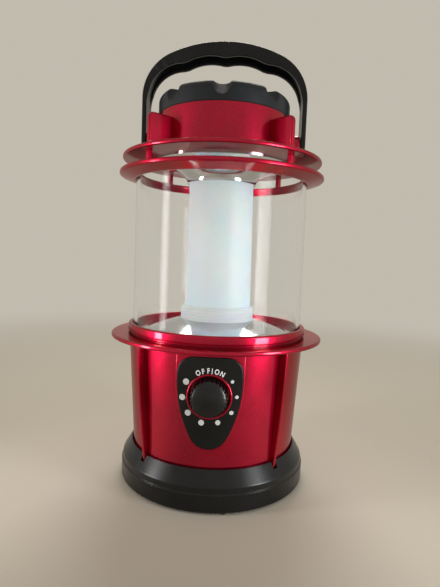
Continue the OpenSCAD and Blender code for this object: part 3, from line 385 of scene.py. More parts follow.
def discard(*objs: bpy.types.Object) -> None:
    """Delete helper objects that only shaped another piece."""
    for obj in objs:
        bpy.data.objects.remove(obj, do_unlink=True)


def cut(obj: bpy.types.Object, tools: Sequence[bpy.types.Object]) -> bpy.types.Object:
    """Cut tools out of a piece.

    Args:
        obj: The piece.
        tools: The shapes to cut out, which are deleted.

    Returns:
        The piece.
    """
    for tool in tools:
        step = obj.modifiers.new("cut", "BOOLEAN")
        step.operation = "DIFFERENCE"
        step.solver = "EXACT"
        step.object = tool
    settle(obj)
    shade(obj)
    discard(*tools)
    return obj


def joined(name: str, objs: Sequence[bpy.types.Object]) -> bpy.types.Object:
    """Merge several pieces that don't touch into one object.

    Args:
        name: Name of the merged piece.
        objs: The pieces, which are deleted.

    Returns:
        The merged piece.
    """
    bm = bmesh.new()
    for obj in objs:
        bm.from_mesh(obj.data)
    discard(*objs)
    bmesh.ops.scale(bm, vec=(1 / MM, 1 / MM, 1 / MM), verts=bm.verts)
    return finished_mesh(name, bm)


def copies(name: str, build: Callable[[], bpy.types.Object], azimuths: Iterable[float]) -> bpy.types.Object:
    """One piece with a copy of a shape, drawn along +X, at each azimuth in degrees."""
    return joined(name, [moved(build(), at_azimuth(azimuth)) for azimuth in azimuths])


# ---- finishes ----


# The stretch of a noise factor that most of it falls in.
MIDDLE = (0.3, 0.7)
# Pointiness of a faint outer edge and of a sharp one.
EDGE_POINTINESS = (0.53, 0.62)


class NodeGraph:
    """Short-hand for building the nodes of one material."""

    def __init__(self, name: str) -> None:
        """Start a material with a plain Principled shader.

        Args:
            name: Name of the material.
        """
        self.material = bpy.data.materials.new(name)
        self.material.use_nodes = True
        self.nodes = self.material.node_tree.nodes
        self.links = self.material.node_tree.links
        self.shader = self.nodes["Principled BSDF"]
        self.place = self.nodes.new("ShaderNodeTexCoord").outputs["Object"]

    def set(self, **values: float | Rgb | tuple) -> None:
        """Set constant values on the shader; an underscore in a name stands for a space."""
        for name, value in values.items():
            self.shader.inputs[name.replace("_", " ")].default_value = value

    def join(self, source: bpy.types.NodeSocket, target: str) -> None:
        """Feed a socket into one of the shader's inputs."""
        self.links.new(source, self.shader.inputs[target])

    def stretched(self, stretch: Rgb) -> bpy.types.NodeSocket:
        """The piece's own coordinates, scaled along each axis.

        Args:
            stretch: Scale along X, Y and Z.

        Returns:
            The coordinates' socket.
        """
        node = self.nodes.new("ShaderNodeMapping")
        node.inputs["Scale"].default_value = stretch
        self.links.new(self.place, node.inputs["Vector"])
        return node.outputs["Vector"]

    def noise(self, scale: float, detail: float = 4.0, stretch: Rgb = (1, 1, 1)) -> bpy.types.NodeSocket:
        """A noise factor.

        Args:
            scale: Features for each metre.
            detail: Number of finer layers.
            stretch: Scale along each axis.

        Returns:
            The noise's factor socket.
        """
        node = self.nodes.new("ShaderNodeTexNoise")
        node.inputs["Scale"].default_value = scale
        node.inputs["Detail"].default_value = detail
        self.links.new(self.stretched(stretch), node.inputs["Vector"])
        return node.outputs["Fac"]

    def flakes(self, scale: float) -> bpy.types.NodeSocket:
        """A random colour for each small cell.

        Args:
            scale: Cells for each metre.

        Returns:
            The colour socket.
        """
        node = self.nodes.new("ShaderNodeTexVoronoi")
        node.inputs["Scale"].default_value = scale
        self.links.new(self.place, node.inputs["Vector"])
        return node.outputs["Color"]

    def ramp(
        self, factor: bpy.types.NodeSocket, ends: Point, first: Rgb, second: Rgb
    ) -> bpy.types.NodeSocket:
        """Go from one colour to another along a factor.

        Args:
            factor: Socket that picks the colour.
            ends: The factor at the first and at the second colour.
            first: The colour below the range.
            second: The colour above it.

        Returns:
            The colour socket.
        """
        node = self.nodes.new("ShaderNodeValToRGB")
        elements = node.color_ramp.elements
        for element, position, colour in zip(elements, ends, (first, second), strict=True):
            element.position = position
            element.color = (*colour, 1)
        self.links.new(factor, node.inputs["Fac"])
        return node.outputs["Color"]

    def spread(
        self, factor: bpy.types.NodeSocket, source: Point, target: Point
    ) -> bpy.types.NodeSocket:
        """Map a factor from one range to another, clamped.

        Args:
            factor: Socket to map.
            source: Lowest and highest value that it comes in with.
            target: The values that those become.

        Returns:
            The mapped factor's socket.
        """
        node = self.nodes.new("ShaderNodeMapRange")
        values = (*source, *target)
        for name, value in zip(("From Min", "From Max", "To Min", "To Max"), values, strict=True):
            node.inputs[name].default_value = value
        self.links.new(factor, node.inputs["Value"])
        return node.outputs["Result"]

    def blend(
        self, factor: bpy.types.NodeSocket, first: bpy.types.NodeSocket, second: bpy.types.NodeSocket | Rgb
    ) -> bpy.types.NodeSocket:
        """Mix two colours by a factor.

        Args:
            factor: Share of the second colour.
            first: Socket of the first colour.
            second: Socket of the second colour, or a fixed colour.

        Returns:
            The mixed colour's socket.
        """
        node = self.nodes.new("ShaderNodeMix")
        node.data_type = "RGBA"
        self.links.new(factor, node.inputs["Factor"])
        self.links.new(first, node.inputs["A"])
        if isinstance(second, tuple):
            node.inputs["B"].default_value = (*second, 1)
        else:
            self.links.new(second, node.inputs["B"])
        return node.outputs["Result"]

    def bump(self, height: bpy.types.NodeSocket, depth: float, strength: float = 1.0) -> None:
        """Raise fine relief from a factor.

        Args:
            height: Socket that gives the relief.
            depth: Depth of the relief in millimetres.
            strength: Share of the relief that shows.
        """
        node = self.nodes.new("ShaderNodeBump")
        node.inputs["Distance"].default_value = depth * MM
        node.inputs["Strength"].default_value = strength
        self.links.new(height, node.inputs["Height"])
        self.links.new(node.outputs["Normal"], self.shader.inputs["Normal"])

    def edge_wear(self) -> bpy.types.NodeSocket:
        """Factor that rises along outer edges."""
        node = self.nodes.new("ShaderNodeNewGeometry")
        return self.spread(node.outputs["Pointiness"], EDGE_POINTINESS, (0.0, 1.0))


@dataclass(frozen=True)
class Moulded:
    """Moulded plastic or rubber: a mottled colour with fine grain and rubbed edges."""

    name: str
    dark: Rgb
    light: Rgb
    rough: Point = (0.38, 0.5)
    grain: float = 2600.0
    grain_depth: float = 0.02
    rubbed: Rgb = (0.06, 0.06, 0.062)
    specular: float = 0.5
    cloud_scale: float = 55.0
    cloud_ends: Point = (0.35, 0.68)
    patch_scale: float = 140.0
    grain_share: float = 0.5

    def material(self) -> bpy.types.Material:
        """Build the finish's material.

        Returns:
            The new material.
        """
        graph = NodeGraph(self.name)
        cloud = graph.noise(self.cloud_scale, detail=6)
        colour = graph.ramp(cloud, self.cloud_ends, self.dark, self.light)
        graph.join(graph.blend(graph.edge_wear(), colour, self.rubbed), "Base Color")
        graph.join(graph.spread(graph.noise(self.patch_scale, detail=5), MIDDLE, self.rough), "Roughness")
        graph.bump(graph.noise(self.grain, detail=3), self.grain_depth, self.grain_share)
        graph.set(Specular_IOR_Level=self.specular)
        return graph.material


@dataclass(frozen=True)
class Lacquer:
    """Glossy see-through red over fine metal flakes."""

    name: str
    deep: Rgb
    bright: Rgb
    flake: Rgb
    rough: Point = (0.27, 0.35)
    cloud_scale: float = 26.0
    cloud_ends: Point = (0.34, 0.66)
    patch_scale: float = 90.0
    flake_scale: float = 2600.0
    flake_ends: Point = (0.6, 1.0)
    glint: float = 0.08
    ripple_scale: float = 420.0
    ripple_depth: float = 0.02
    ripple_share: float = 0.08
    metallic: float = 0.9
    coat: float = 0.6
    coat_rough: float = 0.08
    edge_tint: Rgb = (0.30, 0.01, 0.03)

    def material(self) -> bpy.types.Material:
        """Build the finish's material.

        Returns:
            The new material.
        """
        graph = NodeGraph(self.name)
        body = graph.ramp(graph.noise(self.cloud_scale), self.cloud_ends, self.deep, self.bright)
        glint = graph.spread(graph.flakes(self.flake_scale), self.flake_ends, (0.0, self.glint))
        coloured = graph.blend(glint, body, self.flake)
        graph.join(graph.blend(graph.edge_wear(), coloured, self.bright), "Base Color")
        graph.join(graph.spread(graph.noise(self.patch_scale, detail=5), MIDDLE, self.rough), "Roughness")
        graph.bump(graph.noise(self.ripple_scale, detail=2), self.ripple_depth, self.ripple_share)
        graph.set(Metallic=self.metallic, Specular_Tint=(*self.edge_tint, 1))
        graph.set(Coat_Weight=self.coat, Coat_Roughness=self.coat_rough, Coat_IOR=1.5)
        return graph.material


@dataclass(frozen=True)
class ClearPlastic:
    """Clear moulded plastic with faint smears."""

    name: str
    tint: Rgb
    ior: float
    rough: Point = (0.0, 0.05)
    smear_scale: float = 38.0
    smear_stretch: Rgb = (1, 1, 0.35)
    smear_ends: Point = (0.45, 0.8)
    ripple_scale: float = 60.0
    ripple_depth: float = 0.02
    ripple_share: float = 0.05

    def material(self) -> bpy.types.Material:
        """Build the finish's material.

        Returns:
            The new material.
        """
        graph = NodeGraph(self.name)
        smear = graph.noise(self.smear_scale, detail=6, stretch=self.smear_stretch)
        graph.join(graph.ramp(smear, MIDDLE, self.tint, (1, 1, 1)), "Base Color")
        graph.join(graph.spread(smear, self.smear_ends, self.rough), "Roughness")
        graph.bump(graph.noise(self.ripple_scale, detail=2), self.ripple_depth, self.ripple_share)
        graph.set(Transmission_Weight=1.0, IOR=self.ior)
        return graph.material


@dataclass(frozen=True)
class Frosted:
    """Milky plastic that light spreads through."""

    name: str
    dark: Rgb
    light: Rgb
    depth: float = 0.0025
    rough: Point = (0.3, 0.42)
    scatter: float = 0.35
    ior: float = 1.49
    cloud_scale: float = 45.0
    patch_scale: float = 200.0
    grain: float = 3200.0
    grain_depth: float = 0.01
    grain_share: float = 0.35

    def material(self) -> bpy.types.Material:
        """Build the finish's material.

        Returns:
            The new material.
        """
        graph = NodeGraph(self.name)
        cloud = graph.noise(self.cloud_scale, detail=5)
        graph.join(graph.ramp(cloud, MIDDLE, self.dark, self.light), "Base Color")
        graph.join(graph.spread(graph.noise(self.patch_scale), MIDDLE, self.rough), "Roughness")
        graph.bump(graph.noise(self.grain, detail=2), self.grain_depth, self.grain_share)
        graph.set(Subsurface_Weight=self.scatter, Subsurface_Scale=self.depth, IOR=self.ior)
        return graph.material


@dataclass(frozen=True)
class Metal:
    """Bare, plated or mirror-coated metal with fine lines along one axis."""

    name: str
    dark: Rgb
    light: Rgb
    rough: Point = (0.2, 0.36)
    lines: Rgb = (1, 1, 12)
    line_scale: float = 300.0
    line_depth: float = 0.01
    line_share: float = 0.3
    patch_scale: float = 120.0

    def material(self) -> bpy.types.Material:
        """Build the finish's material.

        Returns:
            The new material.
        """
        graph = NodeGraph(self.name)
        streak = graph.noise(self.line_scale, stretch=self.lines)
        graph.join(graph.ramp(streak, MIDDLE, self.dark, self.light), "Base Color")
        graph.join(graph.spread(graph.noise(self.patch_scale, detail=5), MIDDLE, self.rough), "Roughness")
        graph.bump(streak, self.line_depth, self.line_share)
        graph.set(Metallic=1.0)
        return graph.material


RED = Lacquer("red_lacquer", (0.34, 0.0005, 0.022), (0.50, 0.001, 0.034), (0.90, 0.15, 0.19))
BASE_BLACK = Moulded(
    "base_black", (0.004, 0.0045, 0.005), (0.009, 0.0095, 0.010),
    rough=(0.24, 0.34), rubbed=(0.02, 0.02, 0.02), specular=0.32)
CAP_BLACK = Moulded(
    "cap_black", (0.006, 0.008, 0.011), (0.012, 0.015, 0.020),
    rough=(0.34, 0.46), rubbed=(0.025, 0.025, 0.028), specular=0.3)
HANDLE_BLACK = Moulded(
    "handle_black", (0.003, 0.0035, 0.004), (0.007, 0.0075, 0.008),
    rough=(0.26, 0.36), rubbed=(0.015, 0.015, 0.015), specular=0.26)
PANEL_BLACK = Moulded(
    "panel_black", (0.003, 0.004, 0.004), (0.007, 0.008, 0.008),
    rough=(0.2, 0.28), rubbed=(0.02, 0.02, 0.02), specular=0.3)
KNOB_BLACK = Moulded(
    "knob_black", (0.004, 0.0045, 0.005), (0.009, 0.0095, 0.010),
    rough=(0.22, 0.32), rubbed=(0.009, 0.0095, 0.010), specular=0.4)
RUBBER = Moulded(
    "foot_rubber", (0.020, 0.020, 0.020), (0.032, 0.032, 0.031),
    rough=(0.7, 0.85), grain=1500, grain_depth=0.05)
INK = Moulded(
    "print_white", (0.74, 0.76, 0.77), (0.86, 0.88, 0.89),
    rough=(0.5, 0.6), grain=3000, grain_depth=0.01, rubbed=(0.8, 0.8, 0.8))
DOT_INK = Moulded(
    "dot_grey", (0.56, 0.60, 0.62), (0.70, 0.74, 0.76),
    rough=(0.5, 0.6), grain=3000, grain_depth=0.01, rubbed=(0.6, 0.6, 0.6))
CLEAR = ClearPlastic("clear_globe", tint=(0.97, 0.985, 0.99), ior=1.16)
MILKY = Frosted("frosted_tube", (0.74, 0.86, 0.98), (0.82, 0.91, 1.0))
MILKY_RING = Frosted("frosted_ring", (0.72, 0.79, 0.85), (0.82, 0.87, 0.91), depth=0.0015)
MIRROR = Metal(
    "mirror_coat", (0.56, 0.57, 0.60), (0.68, 0.69, 0.72),
    rough=(0.08, 0.16), lines=(1, 1, 1), line_scale=60, line_depth=0.03)

Finish = Moulded | Lacquer | ClearPlastic | Frosted | Metal

NODE_FINISHES: dict[Finish, tuple[str, ...]] = {
    Moulded("jacket_blue", (0.02, 0.05, 0.16), (0.03, 0.08, 0.22), (0.3, 0.4)): (
        "battery_right", "battery_rear", "battery_left"),
    Moulded("cage_grey", (0.04, 0.042, 0.045), (0.06, 0.062, 0.066), (0.5, 0.6)): (
        "battery_cage", "contact_disc", "driver_capacitor", "driver_chip"),
    Moulded("board_green", (0.01, 0.09, 0.03), (0.02, 0.14, 0.05), (0.35, 0.45)): ("driver_board",),
    Moulded("board_white", (0.62, 0.63, 0.62), (0.75, 0.76, 0.75), (0.4, 0.5)): ("led_board",),
    Moulded("lead_red", (0.35, 0.01, 0.01), (0.5, 0.02, 0.02), (0.4, 0.5)): ("led_leads",),
    Moulded("lead_black", (0.01, 0.01, 0.01), (0.02, 0.02, 0.02), (0.4, 0.5)): ("battery_leads",),
    Moulded("led_yellow", (0.7, 0.55, 0.12), (0.85, 0.7, 0.2), (0.2, 0.3)): ("led_chips",),
    Moulded("seal_rubber", (0.015, 0.015, 0.015), (0.03, 0.03, 0.03), (0.6, 0.75)): (
        "door_seal", "globe_gasket"),
    Moulded("door_black", (0.010, 0.010, 0.011), (0.022, 0.022, 0.024), (0.4, 0.52)): ("battery_door",),
    Metal("zinc_steel", (0.42, 0.43, 0.45), (0.60, 0.61, 0.62)): (
        "base_screws", "cage_screws", "led_screws", "cap_screws", "dimmer_shaft", "dimmer_body",
        "dimmer_washer", "dimmer_nut", "handle_pins"),
    Metal("brass", (0.55, 0.38, 0.12), (0.72, 0.52, 0.2)): ("door_rivet", "return_strip", "contact_plates"),
    Metal("spring_steel", (0.5, 0.5, 0.5), (0.68, 0.68, 0.67)): ("contact_springs",),
    Metal("coil_copper", (0.55, 0.22, 0.08), (0.75, 0.33, 0.14)): ("driver_coil",),
    Metal("aluminium", (0.62, 0.63, 0.65), (0.78, 0.79, 0.8), (0.3, 0.45)): ("heat_sink",),
}


class Wardrobe:
    """Keeps one material for each finish."""

    def __init__(self) -> None:
        """Start with no materials made."""
        self.made: dict[str, bpy.types.Material] = {}

    def material(self, finish: Finish) -> bpy.types.Material:
        """The finish's material, which is built the first time.

        Args:
            finish: The finish.

        Returns:
            Its material.
        """
        if finish.name not in self.made:
            self.made[finish.name] = finish.material()
        return self.made[finish.name]


# ---- sub-assemblies ----


@dataclass(frozen=True)
class Levels:
    """Heights from the floor that several sub-assemblies share."""

    rim: float = 0.8
    base_top: float = 18.9
    rib_foot: float = 12.5
    flange: float = 72.6
    flange_top: float = 74.6
    deck: float = 75.6
    collar_top: float = 79.5
    cone_top: float = 81.6
    globe: float = 76.4
    globe_top: float = 153.7
    ring_b: float = 152.5
    ring_b_top: float = 154.6
    ring_a: float = 160.3
    ring_a_top: float = 162.3
    drum_top: float = 182.4
    cap_top: float = 191.9
    pivot: float = 169.6
    knob: float = 53.1


@dataclass
class SubAssembly:
    """What every sub-assembly shares: the heights, the wardrobe and how a piece is put on."""

    levels: Levels
    wardrobe: Wardrobe
    carrier: Carrier = Carrier.LANTERN

    def put(
        self,
        obj: bpy.types.Object,
        finish: Finish,
        slot: Slot,
        *nodes: str,
    ) -> bpy.types.Object:
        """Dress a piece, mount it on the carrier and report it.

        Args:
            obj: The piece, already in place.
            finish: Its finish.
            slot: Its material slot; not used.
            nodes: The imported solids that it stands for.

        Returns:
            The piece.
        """
        level_shading(obj)
        obj.data.materials.clear()
        obj.data.materials.append(self.wardrobe.material(finish))
        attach(obj, self.carrier.value)
        if nodes:
            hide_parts(*nodes)
        log.info("%s: %d faces on %s", obj.name, len(obj.data.polygons), self.carrier.value)
        return obj


@dataclass
class Base(SubAssembly):
    """Black base with slots for the body's ribs, and its rubber feet."""

    radius: float = 47.5
    crease: float = 9.2
    bead: float = 0.4
    bead_radius: float = 47.05
    bead_edge: float = 0.25
    shoulder_radius: float = 46.8
    shoulder: float = 12.3
    shoulder_edge: float = 1.9
    wall: float = 2.2
    mouth_radius: float = 42.08
    top_radius: float = 42.78
    top_edge: float = 0.35
    hollow_lean: float = 0.8
    hollow_drop: float = 1.2
    lip_radius: float = 38.9
    lip_top: float = 6.2
    rim_edge: float = 1.2
    slot_width: float = 2.7
    slot_radius: float = 45.3
    slot_lean: float = 1.2
    slot_root: float = 38.0
    slot_gap: float = 0.4
    slot_edge: float = 0.8
    slot_overshoot: float = 3.0
    foot_radius: float = 2.4
    foot_ring: float = 44.1
    foot_height: float = 1.8
    foot_azimuths: tuple[float, ...] = tuple(70 + 60 * i for i in range(6))

    def shell(self) -> bpy.types.Object:
        """Build the base's shell with its four slots.

        Returns:
            The shell.
        """
        rim, top, inner = self.levels.rim, self.levels.base_top, self.radius - self.wall
        outline = rounded([
            Corner(self.lip_radius, rim, BROKEN),
            Corner(self.radius, rim, self.rim_edge),
            Corner(self.radius, self.crease, EASED),
            Corner(self.bead_radius, self.crease + self.bead, self.bead_edge),
            Corner(self.shoulder_radius, self.shoulder, self.shoulder_edge),
            Corner(self.top_radius, top, self.top_edge),
            Corner(self.mouth_radius, top, EASED),
            Corner(self.mouth_radius, top - self.wall, EASED),
            Corner(inner - self.hollow_lean, self.shoulder - self.hollow_drop, SOFT),
            Corner(inner, self.lip_top, SOFT),
            Corner(self.lip_radius, self.lip_top, BROKEN),
        ], steps=8)
        shell = revolved("base_skirt", outline, WIDE_TURN)
        return cut(shell, [moved(self.slot_cutter(), at_azimuth(a)) for a in QUARTER_AZIMUTHS])

    def slot_cutter(self) -> bpy.types.Object:
        """Shape that cuts one rib's slot.

        Returns:
            The cutter, drawn along +X.
        """
        low, high = self.levels.rib_foot - self.slot_gap, self.levels.base_top + self.slot_overshoot
        outline = rounded([
            Corner(self.slot_root, low),
            Corner(self.slot_radius - self.slot_lean, low, self.slot_edge),
            Corner(self.slot_radius, high),
            Corner(self.slot_root, high),
        ])
        return slab("slot_cutter", outline, self.slot_width)

    def foot(self) -> bpy.types.Object:
        """Build one rubber foot with a rounded tread.

        Returns:
            The foot, on its ring along +X.
        """
        outline = rounded([
            Corner(0, 0),
            Corner(self.foot_radius, 0, SOFT),
            Corner(self.foot_radius, self.foot_height),
            Corner(0, self.foot_height),
        ])
        foot = revolved("foot", outline, steps=40)
        return moved(foot, Matrix.Translation((self.foot_ring * MM, 0, 0)))

    def build(self) -> None:
        """Build and dress the base."""
        self.put(self.shell(), BASE_BLACK, Slot.BLACK_PLASTIC, "base_shell")
        self.put(copies("feet", self.foot, self.foot_azimuths), RUBBER, Slot.RUBBER, "rubber_feet")


@dataclass
class ShieldOutline:
    """Outline of the control panel: round upper corners, long curved sides and a round foot."""

    width: float = 29.2
    side_radius: float = 56.0
    corner_radius: float = 7.5
    tip_radius: float = 9.2
    top: float = 70.4
    widest: float = 60.6

    def right_side(self, margin: float) -> Outline:
        """Right half of the outline, from the top edge down to the foot.

        Args:
            margin: How far the outline is grown.

        Returns:
            The half's points.
        """
        side = (self.width / 2 - self.side_radius, self.widest)
        corner_y = self.top - self.corner_radius
        reach = self.side_radius - self.corner_radius
        corner = (side[0] + math.sqrt(reach**2 - (corner_y - self.widest) ** 2), corner_y)
        drop = math.sqrt((self.side_radius - self.tip_radius) ** 2 - side[0] ** 2)
        tip = (0.0, self.widest - drop)
        upper = math.degrees(math.atan2(corner[1] - side[1], corner[0] - side[0]))
        lower = math.degrees(math.atan2(tip[1] - side[1], tip[0] - side[0]))
        return (
            arc(corner, self.corner_radius + margin, 90, upper, steps=12)
            + arc(side, self.side_radius + margin, upper, lower, steps=36)[1:]
            + arc(tip, self.tip_radius + margin, lower, -90, steps=16)[1:]
        )


def eased_edge(
    side_at: Callable[[float], Outline], radius: float, edge: float, steps: int
) -> list[tuple[Outline, float]]:
    """Levels of a wrapped plate's rounded front edge.

    Args:
        side_at: Gives the right-hand outline at a margin.
        radius: Radius of the plate's front face.
        edge: Radius that rounds its edge.
        steps: Number of steps round the edge.

    Returns:
        Pairs of right-hand outline and radius, from the front face back to the full outline.
    """
    levels = []
    for k in range(steps + 1):
        a = math.radians(90 * k / steps)
        levels.append((side_at(edge * (math.sin(a) - 1)), radius - edge * (1 - math.cos(a))))
    return levels


def wrapped_plate(name: str, levels: Sequence[tuple[Outline, float]], columns: int = 40) -> bpy.types.Object:
    """A plate that lies on an upright cylinder, with a mirrored outline.

    Args:
        name: Name of the new piece.
        levels: Pairs of right-hand outline and cylinder radius, from the front face to the back.
        columns: Number of columns across the plate.

    Returns:
        The new object.
    """
    bm = bmesh.new()

    def vertex(x: float, z: float, radius: float) -> bmesh.types.BMVert:
        """A vertex of the plate on a cylinder."""
        return bm.verts.new((x, -math.sqrt(radius**2 - x**2), z))

    def face_rows(side: Outline, radius: float) -> list[list]:
        """Vertices of one face of the plate.

        Args:
            side: The face's right-hand outline.
            radius: The face's radius.

        Returns:
            The rows, from the top down.
        """
        rows = []
        for x, z in side:
            if x > TINY:
                rows.append([vertex(x * (1 - 2 * k / columns), z, radius) for k in range(columns + 1)])
            else:
                rows.append([vertex(0, z, radius)])
        return rows

    def rim_of(rows: list[list]) -> list:
        """The closed edge of a face.

        Args:
            rows: The face's rows.

        Returns:
            The vertices of the edge in order.
        """
        right = [row[0] for row in rows]
        left = [row[-1] for row in rows[-2::-1]]
        return right + left + rows[0][-2:0:-1]

    def fill(rows: list[list]) -> None:
        """Fill a face.

        Args:
            rows: The face's rows.
        """
        for upper, lower in zip(rows, rows[1:]):
            for k in range(len(upper) - 1):
                pair = [lower[0]] if len(lower) == 1 else [lower[k + 1], lower[k]]
                bm.faces.new([upper[k], upper[k + 1], *pair])

    front = face_rows(*levels[0])
    back = face_rows(*levels[-1])
    rims = [rim_of(front)]
    for side, radius in levels[1:-1]:
        edge = [vertex(x, z, radius) for x, z in side]
        edge += [vertex(-x, z, radius) for x, z in side[-2::-1]]
        top_x, top_z = side[0]
        edge += [vertex(-top_x * (1 - 2 * k / columns), top_z, radius) for k in range(1, columns)]
        rims.append(edge)
    rims.append(rim_of(back))
    fill(front)
    fill(back)
    for upper, lower in zip(rims, rims[1:]):
        bridge(bm, upper, lower)
    return finished_mesh(name, bm)


@dataclass
class Housing(SubAssembly):
    """Red tapered body with its flange, four ribs, the panel's boss and the knob's well."""

    radius: float = 44.9
    draft: float = 0.06
    wall: float = 2.0
    low: float = 9.4
    flange_radius: float = 54.0
    flange_root: float = 0.8
    flange_low_edge: float = 0.85
    flange_top_edge: float = 0.95
    neck_radius: float = 44.4
    neck_edge: float = 0.25
    deck_hole: float = 16.8
    deck_wall: float = 2.3
    rib_thickness: float = 1.9
    rib_reach: float = 3.9
    rib_foot_reach: float = 1.8
    rib_bulge: float = 0.9
    rib_edge: float = 0.55
    rib_sink: float = 0.2
    boss_radius: float = 45.9
    boss_back: float = 41.2
    boss_rim: float = 0.8
    boss_edge: float = 0.5
    boss_sink: float = 0.4
    panel_sink: float = 1.0
    panel_clearance: float = 0.12
    pocket_rise: float = 2.0
    well_radius: float = 9.0
    well_wall: float = 1.1
    well_floor: float = 41.2
    well_base: float = 2.0
    well_rim: float = 46.5
    well_clearance: float = 0.5
    opening_depth: float = 6.0
    shaft_hole: float = 3.7
    shield: ShieldOutline = field(default_factory=ShieldOutline)

    def radius_at(self, height: float) -> float:
        """Outer radius of the tapered body at a height."""
        return self.radius - self.draft * (self.levels.flange - height)

    def well_opening(self) -> bpy.types.Object:
        """Shape that clears the knob's well from the wall round it."""
        radius, back = self.well_radius + self.well_clearance, self.well_floor - self.opening_depth
        return front_cutter(radius, back, self.levels.knob)

    def shell(self) -> bpy.types.Object:
        """Build the body's shell, flange and deck.

        Returns:
            The shell.
        """
        lv, under_deck = self.levels, self.levels.deck - self.deck_wall
        outline = rounded([
            Corner(self.radius_at(self.low) - self.wall, self.low, EASED),
            Corner(self.radius_at(self.low), self.low, EASED),
            Corner(self.radius, lv.flange, self.flange_root),
            Corner(self.flange_radius, lv.flange, self.flange_low_edge),
            Corner(self.flange_radius, lv.flange_top, self.flange_top_edge),
            Corner(self.neck_radius, lv.flange_top, self.neck_edge),
            Corner(self.neck_radius, lv.deck, CRISP),
            Corner(self.deck_hole, lv.deck, CRISP),
            Corner(self.deck_hole, under_deck, CRISP),
            Corner(self.radius_at(under_deck) - self.wall, under_deck, SOFT),
        ], steps=8)
        return cut(revolved("body_shell", outline, WIDE_TURN), [self.well_opening()])

    def rib(self) -> bpy.types.Object:
        """Build one rib with a rounded edge.

        Returns:
            The rib, drawn along +X.
        """
        low, high = self.levels.rib_foot, self.levels.flange + self.rib_sink
        foot = (self.radius_at(low) + self.rib_foot_reach, low)
        head = (self.radius + self.rib_reach, high)
        edge = bulged(foot, head, self.rib_bulge, steps=24)
        root = [(self.radius - ROOT, high), (self.radius_at(low) - ROOT, low)]
        return slab("rib", edge + root, self.rib_thickness, self.rib_edge)

    def ribs(self) -> bpy.types.Object:
        """Build the four ribs."""
        return copies("body_ribs", self.rib, QUARTER_AZIMUTHS)

    def boss_side(self, margin: float, rows: int = 8) -> Outline:
        """Right half of the boss's outline: straight down from the flange, then along the panel.

        Args:
            margin: How far the panel's outline is grown.
            rows: Number of steps in the straight stretch.

        Returns:
            The half's points.
        """
        widest = self.shield.widest
        side = [p for p in self.shield.right_side(margin) if p[1] < widest]
        x = self.shield.width / 2 + margin
        drop = self.levels.flange + self.boss_sink - widest
        return [(x, widest + drop * (1 - k / rows)) for k in range(rows + 1)] + side

    def boss(self) -> bpy.types.Object:
        """Build the boss that frames the panel.

        Returns:
            The boss.
        """
        rim = self.boss_rim
        levels = eased_edge(lambda m: self.boss_side(rim + m), self.boss_radius, self.boss_edge, steps=5)
        boss = wrapped_plate("panel_boss", levels + [(self.boss_side(rim), self.boss_back)])
        opening = self.shield.right_side(self.panel_clearance)
        pocket = wrapped_plate("pocket", [
            (opening, self.boss_radius + self.pocket_rise),
            (opening, self.boss_radius - self.panel_sink),
        ])
        return cut(boss, [pocket, self.well_opening()])

    def well(self) -> bpy.types.Object:
        """Build the round well that the knob turns in.

        Returns:
            The well.
        """
        outer, low = self.well_radius + self.well_wall, self.well_floor - self.well_base
        outline = rounded([
            Corner(self.shaft_hole, low),
            Corner(outer, low, EASED),
            Corner(outer, self.well_rim, SOFT),
            Corner(self.well_radius, self.well_rim, SOFT),
            Corner(self.well_radius, self.well_floor, BROKEN),
            Corner(self.shaft_hole, self.well_floor, CRISP),
        ])
        return moved(revolved("knob_well", outline, TUBE_TURN), facing_front(self.levels.knob))

    def build(self) -> None:
        """Build and dress the body."""
        for shape in (self.shell, self.ribs, self.boss, self.well):
            self.put(shape(), RED, Slot.RED_PAINT, "lower_housing")


